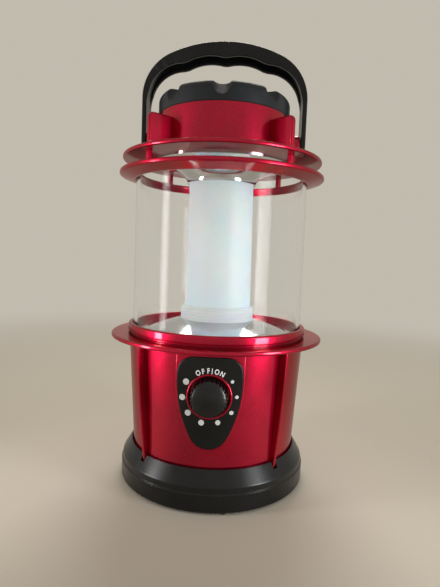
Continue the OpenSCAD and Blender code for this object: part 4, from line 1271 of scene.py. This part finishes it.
@dataclass
class Panel(SubAssembly):
    """Black control panel with its printed dots and switch words."""

    radius: float = 46.1
    back_radius: float = 44.92
    hole_radius: float = 10.25
    hole_back: float = 30.0
    edge: float = 0.35
    dot_ring: float = 12.0
    dot_start: float = 55.0
    dot_step: float = 35.0
    dot_radii: tuple[float, ...] = (0.76, 0.8, 0.93, 1.12, 1.27, 1.35, 1.35, 1.4)
    dot_sides: int = 32
    words: str = "OFF|ON"
    word_clocks: tuple[float, ...] = (-26.8, -15.3, -3.6, 4.6, 15.2, 27.8)
    word_ring: float = 11.55
    letter_height: float = 2.2
    letter_narrowing: float = 0.82
    letter_boldness: float = 0.075
    capital_share: float = 0.7
    print_height: float = 0.03
    shield: ShieldOutline = field(default_factory=ShieldOutline)

    def plate(self) -> bpy.types.Object:
        """Build the panel with rounded edges and a hole for the well.

        Returns:
            The panel.
        """
        levels = eased_edge(self.shield.right_side, self.radius, self.edge, steps=4)
        plate = wrapped_plate("panel_plate", levels + [(self.shield.right_side(0), self.back_radius)])
        return cut(plate, [front_cutter(self.hole_radius, self.hole_back, self.levels.knob)])

    def wrap(self, obj: bpy.types.Object) -> None:
        """Lay a flat print on the panel.

        Args:
            obj: The print, drawn in X and Z with its thickness along -Y.
        """
        for vertex in obj.data.vertices:
            x, lift = vertex.co.x / MM, -vertex.co.y / MM
            vertex.co.y = -math.sqrt((self.radius + lift) ** 2 - x**2) * MM

    def ring_place(self, clock: float, ring: float) -> Point:
        """X and Z of a place on a circle round the knob, clock degrees clockwise from the top."""
        a = math.radians(clock)
        return ring * math.sin(a), self.levels.knob + ring * math.cos(a)

    def dots(self) -> bpy.types.Object:
        """Build the eight dots, which grow clockwise.

        Returns:
            The dots as one piece.
        """
        dots = []
        last = 360 * (1 - 1 / self.dot_sides)
        for i, radius in enumerate(self.dot_radii):
            place = self.ring_place(self.dot_start + self.dot_step * i, self.dot_ring)
            dot = slab("dot", arc(place, radius, 0, last, self.dot_sides - 1), 2 * self.print_height)
            self.wrap(dot)
            dots.append(dot)
        return joined("panel_dots", dots)

    def letter(self, character: str, clock: float) -> bpy.types.Object:
        """Build one raised letter, standing on the circle round the knob.

        Args:
            character: The letter.
            clock: Its place in degrees clockwise from the top.

        Returns:
            The letter.
        """
        curve = bpy.data.curves.new("letter", "FONT")
        curve.body = character
        curve.size = self.letter_height / self.capital_share * MM
        curve.align_x = "CENTER"
        curve.extrude = self.print_height * MM
        curve.offset = self.letter_boldness * MM
        source = placed("letter", curve)
        graph = bpy.context.evaluated_depsgraph_get()
        mesh = bpy.data.meshes.new_from_object(source.evaluated_get(graph))
        discard(source)
        letter = placed("letter", mesh)
        x, z = self.ring_place(clock, self.word_ring - self.letter_height / 2)
        narrow = Matrix.Diagonal((self.letter_narrowing, 1, 1, 1))
        stand = Matrix.Rotation(math.radians(90), 4, "X")
        lean = Matrix.Rotation(math.radians(clock), 4, "Y")
        moved(letter, Matrix.Translation((x * MM, 0, z * MM)) @ lean @ stand @ narrow)
        self.wrap(letter)
        return letter

    def lettering(self) -> bpy.types.Object:
        """Build the switch words along their arc."""
        letters = [self.letter(c, clock) for c, clock in zip(self.words, self.word_clocks, strict=True)]
        return joined("panel_words", letters)

    def build(self) -> None:
        """Build and dress the panel."""
        self.put(self.plate(), PANEL_BLACK, Slot.PANEL_BLACK, "control_panel")
        self.put(self.dots(), DOT_INK, Slot.PANEL_BLACK)
        self.put(self.lettering(), INK, Slot.PANEL_BLACK)


@dataclass
class Knob(SubAssembly):
    """Dimmer knob with beaded flutes and a domed face."""

    carrier: Carrier = Carrier.KNOB
    radius: float = 8.05
    face_radius: float = 7.4
    back: float = 41.6
    front: float = 52.6
    dome: float = 2.0
    dome_steps: int = 16
    rim_edge: float = 0.45
    face_edge: float = 0.15
    flutes: int = 26
    flute_depth: float = 0.62
    flute_start: float = 0.1
    flute_rim: float = 0.35
    flute_power: float = 1.4
    bead_steps: int = 10

    def fluted(self, azimuth: float, radius: float, height: float) -> Point:
        """Pull a point of the grip in between two beads.

        Args:
            azimuth: Azimuth of the point in radians.
            radius: Its radius on the plain knob.
            height: Its height on the plain knob.

        Returns:
            Its radius and height with the flutes.
        """
        start, full = self.face_radius - self.flute_start, self.radius - self.flute_rim
        share = min(max((radius - start) / (full - start), 0), 1)
        bead = abs(math.cos(self.flutes * azimuth / 2))
        return radius - self.flute_depth * share * (1 - bead) ** self.flute_power, height

    def grip(self) -> bpy.types.Object:
        """Build the knob.

        Returns:
            The knob.
        """
        shoulder = self.front - self.dome
        outline = [(0, self.back)] + rounded([
            Corner(NEAR_AXIS, self.back),
            Corner(self.radius, self.back, BROKEN),
            Corner(self.radius, shoulder, self.rim_edge),
            Corner(self.face_radius, shoulder, self.face_edge),
        ])[1:]
        shares = [1 - k / self.dome_steps for k in range(1, self.dome_steps + 1)]
        outline += [(self.face_radius * t, shoulder + self.dome * (1 - t**2)) for t in shares]
        grip = revolved("knob_grip", outline, self.flutes * self.bead_steps, self.fluted)
        return moved(grip, facing_front(self.levels.knob))

    def build(self) -> None:
        """Build and dress the knob."""
        self.put(self.grip(), KNOB_BLACK, Slot.KNOB_BLACK, "dimmer_knob")


@dataclass
class Globe(SubAssembly):
    """Clear globe in its red collar, with the light tube and the two bright reflectors."""

    radius: float = 43.3
    wall: float = 1.8
    collar_radius: float = 45.65
    collar_bore: float = 43.45
    collar_edge: float = 1.1
    tube_low: float = 17.4
    tube_top: float = 16.35
    tube_wall: float = 1.4
    tube_foot: float = 77.8
    tube_head: float = 153.0
    tube_clearance: float = 0.15
    steps: int = 5
    step_ring: float = 18.9
    step_height: float = 7.0
    step_edge: float = 0.12
    last_step: float = 0.5
    groove_depth: float = 0.35
    groove_flank: float = 0.22
    groove_half: float = 0.12
    groove_edge: float = 0.05
    dish_radius: float = 41.2
    dish_wall: float = 1.0
    dish_rim: float = 5.2
    dish_lean: float = 0.5
    dish_bend: float = 1.5
    dish_clearance: float = 0.3
    dish_lip: float = 0.6
    dish_lip_lean: float = 0.3
    neck: float = 150.4
    neck_radius: float = 17.6
    flare_radius: float = 34.5
    flare_power: float = 1.5
    flare_steps: int = 30
    trumpet_wall: float = 1.0
    trumpet_rim: float = 0.6
    head_gap: float = 1.1

    def collar(self) -> bpy.types.Object:
        """Build the red collar.

        Returns:
            The collar.
        """
        low, high = self.levels.deck, self.levels.collar_top
        outline = rounded([
            Corner(self.collar_bore, low, CRISP),
            Corner(self.collar_radius, low, BROKEN),
            Corner(self.collar_radius, high, self.collar_edge),
            Corner(self.collar_bore, high, BROKEN),
        ])
        return revolved("globe_collar_ring", outline, WIDE_TURN)

    def sleeve(
        self, name: str, low: Point, high: Point, wall: float, edge: float, turn: int
    ) -> bpy.types.Object:
        """Build a thin upright tube with rounded rims.

        Args:
            name: Name of the piece.
            low: Its outer radius and height at the foot.
            high: Its outer radius and height at the head.
            wall: Thickness of its wall.
            edge: Radius that rounds the rims.
            turn: Number of steps in a full turn.

        Returns:
            The tube.
        """
        outline = rounded([
            Corner(low[0] - wall, low[1], edge),
            Corner(*low, edge),
            Corner(*high, edge),
            Corner(high[0] - wall, high[1], edge),
        ], steps=4)
        return revolved(name, outline, turn)

    def glass(self) -> bpy.types.Object:
        """Build the globe."""
        low, high = (self.radius, self.levels.globe), (self.radius, self.levels.globe_top)
        return self.sleeve("globe_glass", low, high, self.wall, SOFT, WIDE_TURN)

    def tube(self) -> bpy.types.Object:
        """Build the frosted tube, which narrows upwards."""
        low, high = (self.tube_low, self.tube_foot), (self.tube_top, self.tube_head)
        return self.sleeve("light_tube", low, high, self.tube_wall, EASED, TUBE_TURN)

    def stepped_ring(self) -> bpy.types.Object:
        """Build the stepped ring round the tube's foot.

        Returns:
            The ring.
        """
        low, rise = self.levels.cone_top, self.step_height / self.steps
        bore, groove = self.tube_low + self.tube_clearance, self.step_ring - self.groove_depth
        corners = [Corner(bore, low, FAINT)]
        for i in range(self.steps):
            foot, is_last = low + i * rise, i == self.steps - 1
            head, out = foot + rise, self.step_ring - (self.last_step if is_last else 0)
            corners += [
                Corner(out, foot + (self.groove_flank if i else 0), self.step_edge),
                Corner(out, head - self.groove_flank, CRISP),
            ]
            if not is_last:
                corners += [
                    Corner(groove, head - self.groove_half, self.groove_edge),
                    Corner(groove, head + self.groove_half, self.groove_edge),
                ]
        corners.append(Corner(bore, low + self.step_height, CRISP))
        return revolved("tube_steps", rounded(corners, steps=3), TUBE_TURN)

    def lower_dish(self) -> bpy.types.Object:
        """Build the bright dish that rises to the tube's foot.

        Returns:
            The dish.
        """
        low, high = self.levels.deck, self.levels.cone_top
        inner_rim = self.dish_radius - self.dish_rim
        bore, lip = self.tube_low + self.dish_clearance, self.step_ring + self.dish_lip
        outline = rounded([
            Corner(inner_rim - self.dish_lean, low),
            Corner(self.dish_radius, low, CRISP),
            Corner(self.dish_radius, low + self.dish_wall, EASED),
            Corner(inner_rim, low + self.dish_wall, self.dish_bend),
            Corner(lip, high, SOFT),
            Corner(bore, high, FAINT),
            Corner(bore, high - self.dish_wall, FAINT),
            Corner(lip - self.dish_lip_lean, high - self.dish_wall, SOFT),
        ])
        return revolved("lower_dish", outline, WIDE_TURN)

    def flare(self, step: int, width: float, rise: float) -> Point:
        """Point of the trumpet's curve.

        Args:
            step: Number of steps from the neck towards the level rim.
            width: Reach of the curve from the neck out to the rim.
            rise: Height of the rim over the neck.

        Returns:
            The point's radius and height.
        """
        a = math.radians(90 / self.flare_steps * step)
        return self.flare_radius - width * math.cos(a) ** self.flare_power, self.neck + rise * math.sin(a)

    def upper_trumpet(self) -> bpy.types.Object:
        """Build the bright trumpet from the tube's top out to a rim under the upper ring.

        Returns:
            The trumpet.
        """
        rim, width = self.levels.ring_a, self.flare_radius - self.neck_radius
        rise, top = rim - self.neck, self.tube_head + self.head_gap
        bore, inward = self.tube_top + self.tube_clearance, range(self.flare_steps - 1, 0, -1)
        lower = [self.flare(k, width, rise - self.trumpet_rim) for k in range(self.flare_steps + 1)]
        upper = [self.flare(k, width + self.trumpet_wall, rise) for k in inward]
        outline = [(bore, self.neck)] + lower + [(self.flare_radius, rim)]
        outline += [p for p in upper if p[1] > top]
        outline += [(self.neck_radius, top), (0, top)]
        outline += [(0, top - self.trumpet_wall), (bore, top - self.trumpet_wall)]
        return revolved("upper_trumpet", outline, WIDE_TURN)

    def build(self) -> None:
        """Build and dress the globe and what stands in it."""
        self.put(self.collar(), RED, Slot.RED_PAINT, "globe_collar")
        self.put(self.glass(), CLEAR, Slot.CLEAR_GLOBE, "globe")
        self.put(self.tube(), MILKY, Slot.FROSTED, "mantle_tube")
        self.put(self.stepped_ring(), MILKY_RING, Slot.FROSTED, "tube_ring")
        self.put(self.lower_dish(), MIRROR, Slot.MIRROR, "lower_reflector")
        self.put(self.upper_trumpet(), MIRROR, Slot.MIRROR, "upper_reflector")


@dataclass
class Top(SubAssembly):
    """Red top: two rings with posts between them, the drum, four fins and two ears."""

    ring_b_radius: float = 51.5
    ring_b_bore: float = 43.45
    ring_b_edge: float = 0.9
    rim_reach: float = 0.6
    rim_rise: float = 0.5
    lip_depth: float = 2.0
    lip_wall: float = 1.2
    cover_bore: float = 41.8
    ring_a_radius: float = 50.1
    ring_a_low_edge: float = 0.8
    ring_a_edge: float = 0.95
    drum_radius: float = 33.0
    drum_foot: float = 33.6
    drum_wall: float = 2.0
    step_width: float = 2.0
    step_height: float = 1.4
    step_lean: float = 0.3
    step_edge: float = 0.6
    fin_radius: float = 45.8
    fin_height: float = 15.0
    fin_thickness: float = 2.5
    fin_corner: float = 2.6
    fin_edge: float = 0.9
    ring_sink: float = 0.8
    post_outer: float = 46.0
    post_inner: float = 43.6
    post_edge: float = 0.45
    post_sink: float = 0.6
    ear_low: float = 31.0
    ear_face: float = 38.4
    ear_radius: float = 6.5
    ear_edge: float = 0.8

    def lower_ring(self) -> bpy.types.Object:
        """Build the lower ring with its sloping lip.

        Returns:
            The ring.
        """
        low, high, globe_top = self.levels.ring_b, self.levels.ring_b_top, self.levels.globe_top
        lip = low - self.lip_depth
        outline = rounded([
            Corner(self.ring_b_bore, lip, CRISP),
            Corner(self.ring_b_bore + self.lip_wall, lip, BROKEN),
            Corner(self.ring_b_radius - self.rim_reach, low, self.rim_reach),
            Corner(self.ring_b_radius, low + self.rim_rise, SOFT),
            Corner(self.ring_b_radius, high, self.ring_b_edge),
            Corner(self.cover_bore, high, EASED),
            Corner(self.cover_bore, globe_top, FAINT),
            Corner(self.ring_b_bore, globe_top),
        ], steps=8)
        return revolved("lower_ring", outline, WIDE_TURN)

    def drum(self) -> bpy.types.Object:
        """Build the upper ring and the drum in one turned shape.

        Returns:
            The shape.
        """
        low, ring_top, top = self.levels.ring_a, self.levels.ring_a_top, self.levels.drum_top
        inner, step = self.drum_radius - self.drum_wall, self.drum_foot + self.step_width
        body = rounded([
            Corner(NEAR_AXIS, low),
            Corner(self.ring_a_radius, low, self.ring_a_low_edge),
            Corner(self.ring_a_radius, ring_top, self.ring_a_edge),
            Corner(step, ring_top, EASED),
            Corner(step - self.step_lean, ring_top + self.step_height, self.step_edge),
            Corner(self.drum_foot, ring_top + self.step_height, BROKEN),
            Corner(self.drum_radius, top, BROKEN),
            Corner(inner, top, EASED),
            Corner(inner, ring_top, EASED),
            Corner(NEAR_AXIS, ring_top),
        ], steps=8)
        outline = [(0, low)] + body[1:-1] + [(0, ring_top)]
        return revolved("top_drum", outline, WIDE_TURN)

    def fin(self) -> bpy.types.Object:
        """Build one fin with rounded edges.

        Returns:
            The fin, drawn along +X.
        """
        ring, root = self.levels.ring_a_top, self.drum_radius - ROOT
        low, high = ring - self.ring_sink, ring + self.fin_height
        outline = rounded([
            Corner(root, low),
            Corner(self.fin_radius, low),
            Corner(self.fin_radius, high, self.fin_corner),
            Corner(root, high),
        ], steps=10)
        return slab("fin", outline, self.fin_thickness, self.fin_edge)

    def post(self) -> bpy.types.Object:
        """Build one post between the rings.

        Returns:
            The post, drawn along +X.
        """
        inner, outer = self.post_inner, self.post_outer
        low, high = self.levels.ring_b_top - self.post_sink, self.levels.ring_a + self.post_sink
        outline = [(inner, low), (outer, low), (outer, high), (inner, high)]
        return slab("post", outline, self.fin_thickness, self.post_edge)

    def ear(self) -> bpy.types.Object:
        """Build one ear for a handle pin.

        Returns:
            The ear, drawn along +X.
        """
        low = self.levels.ring_a_top - self.ring_sink
        crown = arc((0, self.levels.pivot), self.ear_radius, 0, 180, steps=32)
        length = self.ear_face - self.ear_low
        ear = slab("ear", [(self.ear_radius, low)] + crown + [(-self.ear_radius, low)], length, self.ear_edge)
        turn = Matrix.Rotation(math.radians(90), 4, "Z")
        return moved(ear, Matrix.Translation(((self.ear_low + length / 2) * MM, 0, 0)) @ turn)

    def fins(self) -> bpy.types.Object:
        """Build the four fins."""
        return copies("top_fins", self.fin, QUARTER_AZIMUTHS)

    def posts(self) -> bpy.types.Object:
        """Build the four posts."""
        return copies("ring_posts", self.post, QUARTER_AZIMUTHS)

    def ears(self) -> bpy.types.Object:
        """Build the two ears."""
        return copies("handle_ears", self.ear, SIDE_AZIMUTHS)

    def build(self) -> None:
        """Build and dress the top."""
        self.put(self.lower_ring(), RED, Slot.RED_PAINT, "globe_ring")
        for shape in (self.drum, self.fins, self.posts, self.ears):
            self.put(shape(), RED, Slot.RED_PAINT, "top_housing")


@dataclass
class Cap(SubAssembly):
    """Black cap with eight finger scoops in its rounded edge."""

    radius: float = 33.0
    edge_radius: float = 3.4
    foot_width: float = 2.0
    foot_edge: float = 0.3
    flat_radius: float = 18.0
    middle_radius: float = 9.0
    wall_rows: int = 12
    flat_rows: int = 22
    scoops: int = 8
    scoop_columns: int = 64
    scoop_radius: float = 4.4
    scoop_depth: float = 3.6
    flank_slope: float = 3.0
    softness: float = 0.7

    def scooped(self, azimuth: float, radius: float, height: float) -> Point:
        """Press a point of the cap in where it lies in a scoop.

        Args:
            azimuth: Azimuth of the point in radians.
            radius: Its radius on the plain cap.
            height: Its height on the plain cap.

        Returns:
            Its radius and height with the scoop.
        """
        slant = math.sqrt(0.5)
        corner = self.edge_radius * (1 - slant)
        pitch = 2 * math.pi / self.scoops
        offset = (azimuth + pitch / 2) % pitch - pitch / 2
        side, ahead = radius * math.sin(offset), radius * math.cos(offset)
        proud = (ahead - (self.radius - corner) + height - (self.levels.cap_top - corner)) * slant
        gap, beyond = self.scoop_radius - self.scoop_depth, abs(side) - self.scoop_radius
        if beyond < 0:
            limit = gap - math.sqrt(self.scoop_radius**2 - side**2)
        else:
            limit = gap + self.flank_slope * beyond
        near = max(self.softness - abs(proud - limit), 0) / self.softness
        pressed = proud - (min(proud, limit) - near**2 * self.softness / 4)
        return math.hypot(side, ahead - pressed * slant), height - pressed * slant

    def shell(self) -> bpy.types.Object:
        """Build the cap.

        Returns:
            The cap.
        """
        low, high = self.levels.drum_top, self.levels.cap_top
        flat, wall_low = self.radius - self.edge_radius, low + self.foot_edge
        wall_high, run = high - self.edge_radius, flat - self.flat_radius
        outline = [(0, low), (self.radius - self.foot_width, low), (self.radius - self.foot_edge, low)]
        rows = self.wall_rows
        outline += [(self.radius, wall_low + (wall_high - wall_low) * k / rows) for k in range(rows)]
        outline += arc((flat, wall_high), self.edge_radius, 0, 90, steps=16)
        outline += [(flat - run * k / self.flat_rows, high) for k in range(1, self.flat_rows + 1)]
        outline += [(self.middle_radius, high), (0, high)]
        return revolved("cap_dome", outline, self.scoop_columns * self.scoops, self.scooped)

    def build(self) -> None:
        """Build and dress the cap."""
        self.put(self.shell(), CAP_BLACK, Slot.BLACK_PLASTIC, "top_cap")


@dataclass
class Handle(SubAssembly):
    """Carrying handle: a strap with side lips that deepen into a grip with finger hollows."""

    carrier: Carrier = Carrier.HANDLE
    width: float = 13.0
    strap: float = 2.2
    half: float = 41.0
    rise: float = 49.6
    top_radius: float = 65.0
    corner_radius: float = 23.8
    grip_depth: float = 7.5
    grip_radius: float = 76.0
    grip_corner: float = 20.0
    grip_foot: float = -20.0
    lip: float = 2.0
    lip_depth: float = 0.02
    edge: float = 0.7
    lip_edge: float = 0.6
    hook: float = 0.6
    edge_share: float = 0.5
    hook_share: float = 0.3
    lip_share: float = 0.6
    end_rows: int = 10
    least_width: float = 1.0
    finger_pitch: float = 20.0
    finger_depth: float = 1.2
    finger_radius: float = 24.0
    outer_finger_share: float = 0.7
    outer_finger_radius: float = 17.0
    pin_radius: float = 2.08
    pin_head: float = 3.68
    pin_head_depth: float = 1.2
    pin_overshoot: float = 0.5
    pin_length: float = 5.0
    longest_reach: float = 40.0
    crease_angle: float = 40.0

    def corner_centre(self, half: float, corner: float, top: float, rise: float) -> Point:
        """Centre of the corner's arc that touches both the arm and the top curve."""
        return half - corner, rise - top + math.sqrt((top - corner) ** 2 - (half - corner) ** 2)

    def arch(
        self, half: float, corner: float, top: float, rise: float, low: float, rows: int = 10
    ) -> Outline:
        """Right half of an arch over the pivot.

        Args:
            half: Distance of the arm from the middle.
            corner: Radius of the corner.
            top: Radius of the top curve.
            rise: Height of the top's middle over the pivot.
            low: Height of the arm's foot.
            rows: Number of steps up the arm.

        Returns:
            The points, from the foot up to the middle of the top.
        """
        centre = self.corner_centre(half, corner, top, rise)
        split = math.degrees(math.atan2(centre[1] - (rise - top), centre[0]))
        arm = [(half, low + (centre[1] - low) * k / rows) for k in range(rows)]
        bend = arc(centre, corner, 0, split, steps=28)
        return arm + bend + arc((0, rise - top), top, split, 90, steps=36)[1:]

    def hollows(self) -> list[tuple[Vector, float]]:
        """Circles that press the finger hollows into the grip.

        Returns:
            Pairs of centre and radius.
        """
        half, rise = self.half - self.strap, self.rise - self.grip_depth
        corner = self.corner_centre(half, self.grip_corner, self.grip_radius, rise)
        inner = math.asin(self.finger_pitch / 2 / self.grip_radius)
        outer = math.asin((self.finger_pitch * 1.5 - corner[0]) / self.grip_corner)
        outer_depth = self.finger_depth * self.outer_finger_share
        fingers = (
            ((0, rise - self.grip_radius), inner, self.grip_radius + self.finger_depth, self.finger_radius),
            (corner, outer, self.grip_corner + outer_depth, self.outer_finger_radius),
        )
        found = []
        for side in (-1, 1):
            for (x, z), lean, reach, radius in fingers:
                out = (reach - radius) * Vector((side * math.sin(lean), math.cos(lean)))
                found.append((Vector((side * x, z)) + out, radius))
        return found

    def depth_at(self, start: Vector, inward: Vector, inner: Outline) -> float:
        """Thickness of the handle at a point of its outer side.

        Args:
            start: The point on the outer side.
            inward: Direction into the handle.
            inner: The arch under the grip.

        Returns:
            The distance from the point to the underside.
        """
        reach = self.longest_reach
        for a, b in zip(inner, inner[1:]):
            along = Vector(b) - Vector(a)
            cross = inward.x * along.y - inward.y * along.x
            if abs(cross) < TINY:
                continue
            gap = Vector(a) - start
            far = (gap.x * along.y - gap.y * along.x) / cross
            share = (gap.x * inward.y - gap.y * inward.x) / cross
            if far > 0 and -TINY <= share <= 1 + TINY:
                reach = min(reach, far)
        for centre, radius in self.hollows():
            gap = centre - start
            middle = gap.dot(inward)
            inside = radius**2 - (gap.length_squared - middle**2)
            if inside > 0 and middle - math.sqrt(inside) > 0:
                reach = min(reach, middle - math.sqrt(inside))
        return max(reach, self.strap + self.lip_depth)

    def section(self, width: float, depth: float) -> list[Point]:
        """Right half of the strap's cross-section.

        Args:
            width: Width of the strap.
            depth: Depth of its lips.

        Returns:
            Pairs of side and depth, from the outer side's middle round to the underside's.
        """
        half = width / 2
        edge = min(self.edge, half * self.edge_share)
        low_edge = self.lip_edge * edge
        hook = min(self.hook, (depth - self.strap) / 2, half * self.hook_share)
        lip = min(self.lip, half * self.lip_share)
        outer = arc((half - edge, -edge), edge, 90, 0, steps=6)
        lower = arc((half - low_edge, low_edge - depth), low_edge, 0, -90, steps=5)
        inner = arc((half - lip + hook, hook - depth), hook, -90, -180, steps=4)
        points = [(0.0, 0.0), (half * 0.5, 0.0)]
        points += [(side, -height) for side, height in outer + lower + inner]
        points += [(half - lip, self.strap), (half * 0.3, self.strap), (0.0, self.strap)]
        return points

    def strap_shape(self) -> bpy.types.Object:
        """Sweep the cross-section over the arch.

        Returns:
            The strap without its pin holes.
        """
        foot = -self.width / 2
        angles = [math.radians(90 / self.end_rows * k) for k in range(self.end_rows)]
        path = [(self.half, foot * math.cos(a)) for a in angles]
        path += self.arch(self.half, self.corner_radius, self.top_radius, self.rise, 0)
        path += [(-x, z) for x, z in path[-2::-1]]
        grip = (self.half - self.strap, self.grip_corner, self.grip_radius, self.rise - self.grip_depth)
        inner = self.arch(*grip, self.grip_foot)
        inner += [(-x, z) for x, z in inner[-2::-1]]
        bm = bmesh.new()
        rings = []
        for i, (x, z) in enumerate(path):
            before, after = Vector(path[max(i - 1, 0)]), Vector(path[min(i + 1, len(path) - 1)])
            along = (after - before).normalized()
            inward = Vector((-along.y, along.x))
            width = max(2 * math.sqrt(max(foot**2 - min(z, 0) ** 2, 0)), self.least_width)
            here = Vector((x, z))
            half = self.section(width, self.depth_at(here, inward, inner))
            loop = half + [(-side, depth) for side, depth in half[-2:0:-1]]
            ring = []
            for side, depth in loop:
                p = here + inward * depth
                ring.append(bm.verts.new((p.x, side, p.y + self.levels.pivot)))
            rings.append(ring)
        for lower, upper in zip(rings, rings[1:]):
            bridge(bm, lower, upper)
        bm.faces.new(rings[0])
        bm.faces.new(rings[-1])
        return finished_mesh("handle_strap", bm, self.crease_angle)

    def pin_hole(self, side: int) -> bpy.types.Object:
        """Shape that cuts one countersunk pin hole.

        Args:
            side: 1 for the right arm and -1 for the left one.

        Returns:
            The cutter.
        """
        out, back = self.half + self.pin_overshoot, self.half - self.pin_length
        outline = [
            (0, out),
            (self.pin_head + self.pin_overshoot, out),
            (self.pin_radius, self.half - self.pin_head_depth),
            (self.pin_radius, back),
            (0, back),
        ]
        turn = Matrix.Rotation(math.radians(90 * side), 4, "Y")
        place = Matrix.Translation((0, 0, self.levels.pivot * MM))
        return moved(revolved("pin_hole", outline, steps=48), place @ turn)

    def build(self) -> None:
        """Build and dress the handle."""
        strap = cut(self.strap_shape(), [self.pin_hole(1), self.pin_hole(-1)])
        self.put(strap, HANDLE_BLACK, Slot.HANDLE_BLACK, "handle")


@dataclass
class InnerParts:
    """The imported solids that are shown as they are, each with its own finish."""

    wardrobe: Wardrobe

    def build(self) -> None:
        """Dress the solids that no piece stands for."""
        for finish, nodes in NODE_FINISHES.items():
            for node in nodes:
                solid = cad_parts[node]
                solid.data.materials.clear()
                solid.data.materials.append(self.wardrobe.material(finish))
                log.info("%s: dressed in %s", node, finish.name)


# ---- stage ----


@dataclass(frozen=True)
class SoftBox:
    """One soft lamp that is turned to the lantern; lengths are in metres, the power in watts."""

    name: str
    azimuth: float
    distance: float
    height: float
    width: float
    length: float
    power: float
    colour: Rgb
    spread: float = 75.0
    highest_aim: float = 0.14

    def hang(self) -> None:
        """Hang the lamp."""
        light = bpy.data.lights.new(self.name, "AREA")
        light.shape = "RECTANGLE"
        light.size, light.size_y = self.width, self.length
        light.energy = self.power
        light.spread = math.radians(self.spread)
        light.color = self.colour
        lamp = placed(self.name, light)
        a = math.radians(self.azimuth)
        lamp.location = (self.distance * math.sin(a), -self.distance * math.cos(a), self.height)
        aim = Vector((0, 0, min(self.height, self.highest_aim))) - lamp.location
        lamp.rotation_euler = aim.to_track_quat("-Z", "Y").to_euler()


SOFT_BOXES = (
    SoftBox("left_strip", azimuth=-67, distance=0.26, height=0.1,
            width=0.044, length=0.18, power=0.104, colour=(1.0, 0.96, 0.97)),
    SoftBox("right_strip", azimuth=56, distance=0.26, height=0.1,
            width=0.078, length=0.18, power=0.132, colour=(0.95, 0.98, 1.0)),
    SoftBox("rear_box", azimuth=180, distance=0.62, height=0.8,
            width=0.5, length=0.4, power=1.0, colour=(1.0, 0.99, 0.97)),
)


@dataclass
class Stage:
    """Pale floor, soft studio light and the camera."""

    pale: Rgb = (0.535, 0.495, 0.425)
    floor_radius: float = 6.0
    floor_sides: int = 96
    fade_start: float = 0.12
    fade_end: float = 0.75
    camera_distance: float = 241.0
    camera_height: float = 114.1
    camera_azimuth: float = 2.5
    pan: float = -0.29
    tilt: float = -4.65
    roll: float = -2.14
    focal_pixels: float = 460.0
    view_height: int = 587
    sensor_height: float = 36.0
    nearest: float = 10.0

    def floor_material(self) -> bpy.types.Material:
        """Matt floor that turns into the plain background far from the lantern.

        Returns:
            The new material.
        """
        material = bpy.data.materials.new("pale_floor")
        material.use_nodes = True
        nodes, links = material.node_tree.nodes, material.node_tree.links
        nodes.clear()
        matt, glow = nodes.new("ShaderNodeBsdfDiffuse"), nodes.new("ShaderNodeEmission")
        matt.inputs["Color"].default_value = (*self.pale, 1)
        glow.inputs["Color"].default_value = (*self.pale, 1)
        place, far = nodes.new("ShaderNodeTexCoord"), nodes.new("ShaderNodeVectorMath")
        far.operation = "LENGTH"
        fade = nodes.new("ShaderNodeMapRange")
        fade.interpolation_type = "SMOOTHERSTEP"
        fade.inputs["From Min"].default_value = self.fade_start
        fade.inputs["From Max"].default_value = self.fade_end
        mix, out = nodes.new("ShaderNodeMixShader"), nodes.new("ShaderNodeOutputMaterial")
        links.new(place.outputs["Object"], far.inputs[0])
        links.new(far.outputs["Value"], fade.inputs["Value"])
        links.new(fade.outputs["Result"], mix.inputs["Fac"])
        links.new(matt.outputs["BSDF"], mix.inputs[1])
        links.new(glow.outputs["Emission"], mix.inputs[2])
        links.new(mix.outputs["Shader"], out.inputs["Surface"])
        return material

    def floor(self) -> None:
        """Lay the round floor."""
        bm = bmesh.new()
        bmesh.ops.create_circle(bm, cap_ends=True, radius=self.floor_radius, segments=self.floor_sides)
        mesh = bpy.data.meshes.new("floor")
        bm.to_mesh(mesh)
        bm.free()
        mesh.materials.append(self.floor_material())
        placed("floor", mesh)

    def sky(self) -> None:
        """Light the scene evenly from a pale background."""
        world = bpy.data.worlds.new("studio")
        world.use_nodes = True
        background = world.node_tree.nodes["Background"]
        background.inputs["Color"].default_value = (*self.pale, 1)
        background.inputs["Strength"].default_value = 1.0
        bpy.context.scene.world = world

    def camera(self) -> None:
        """Set up the camera."""
        data = bpy.data.cameras.new("camera")
        data.sensor_fit = "VERTICAL"
        data.sensor_height = self.sensor_height
        data.lens = self.sensor_height * self.focal_pixels / self.view_height
        data.clip_start = self.nearest * MM
        camera = placed("camera", data)
        turn = (
            Matrix.Rotation(math.radians(self.camera_azimuth + self.pan), 3, "Z")
            @ Matrix.Rotation(math.radians(self.tilt), 3, "X")
            @ Matrix.Rotation(math.radians(self.roll), 3, "Y")
        )
        right, ahead, up = turn.col
        facing = Matrix((right, up, -ahead)).transposed().to_4x4()
        a = math.radians(self.camera_azimuth)
        place = Vector((math.sin(a), -math.cos(a), 0)) * self.camera_distance
        place.z = self.camera_height
        camera.matrix_world = Matrix.Translation(place * MM) @ facing
        bpy.context.scene.camera = camera

    def build(self) -> None:
        """Set the whole stage."""
        self.floor()
        self.sky()
        for box in SOFT_BOXES:
            box.hang()
        self.camera()
        bpy.context.scene.view_settings.view_transform = "Standard"


def main() -> None:
    """Build the stage and every sub-assembly."""
    logging.basicConfig(level=logging.INFO, format="%(name)s %(message)s")
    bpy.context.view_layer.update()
    levels, wardrobe = Levels(), Wardrobe()
    Stage().build()
    for assembly in (Base, Housing, Panel, Knob, Globe, Top, Cap, Handle):
        assembly(levels, wardrobe).build()
    InnerParts(wardrobe).build()


if __name__ == "__main__":
    main()
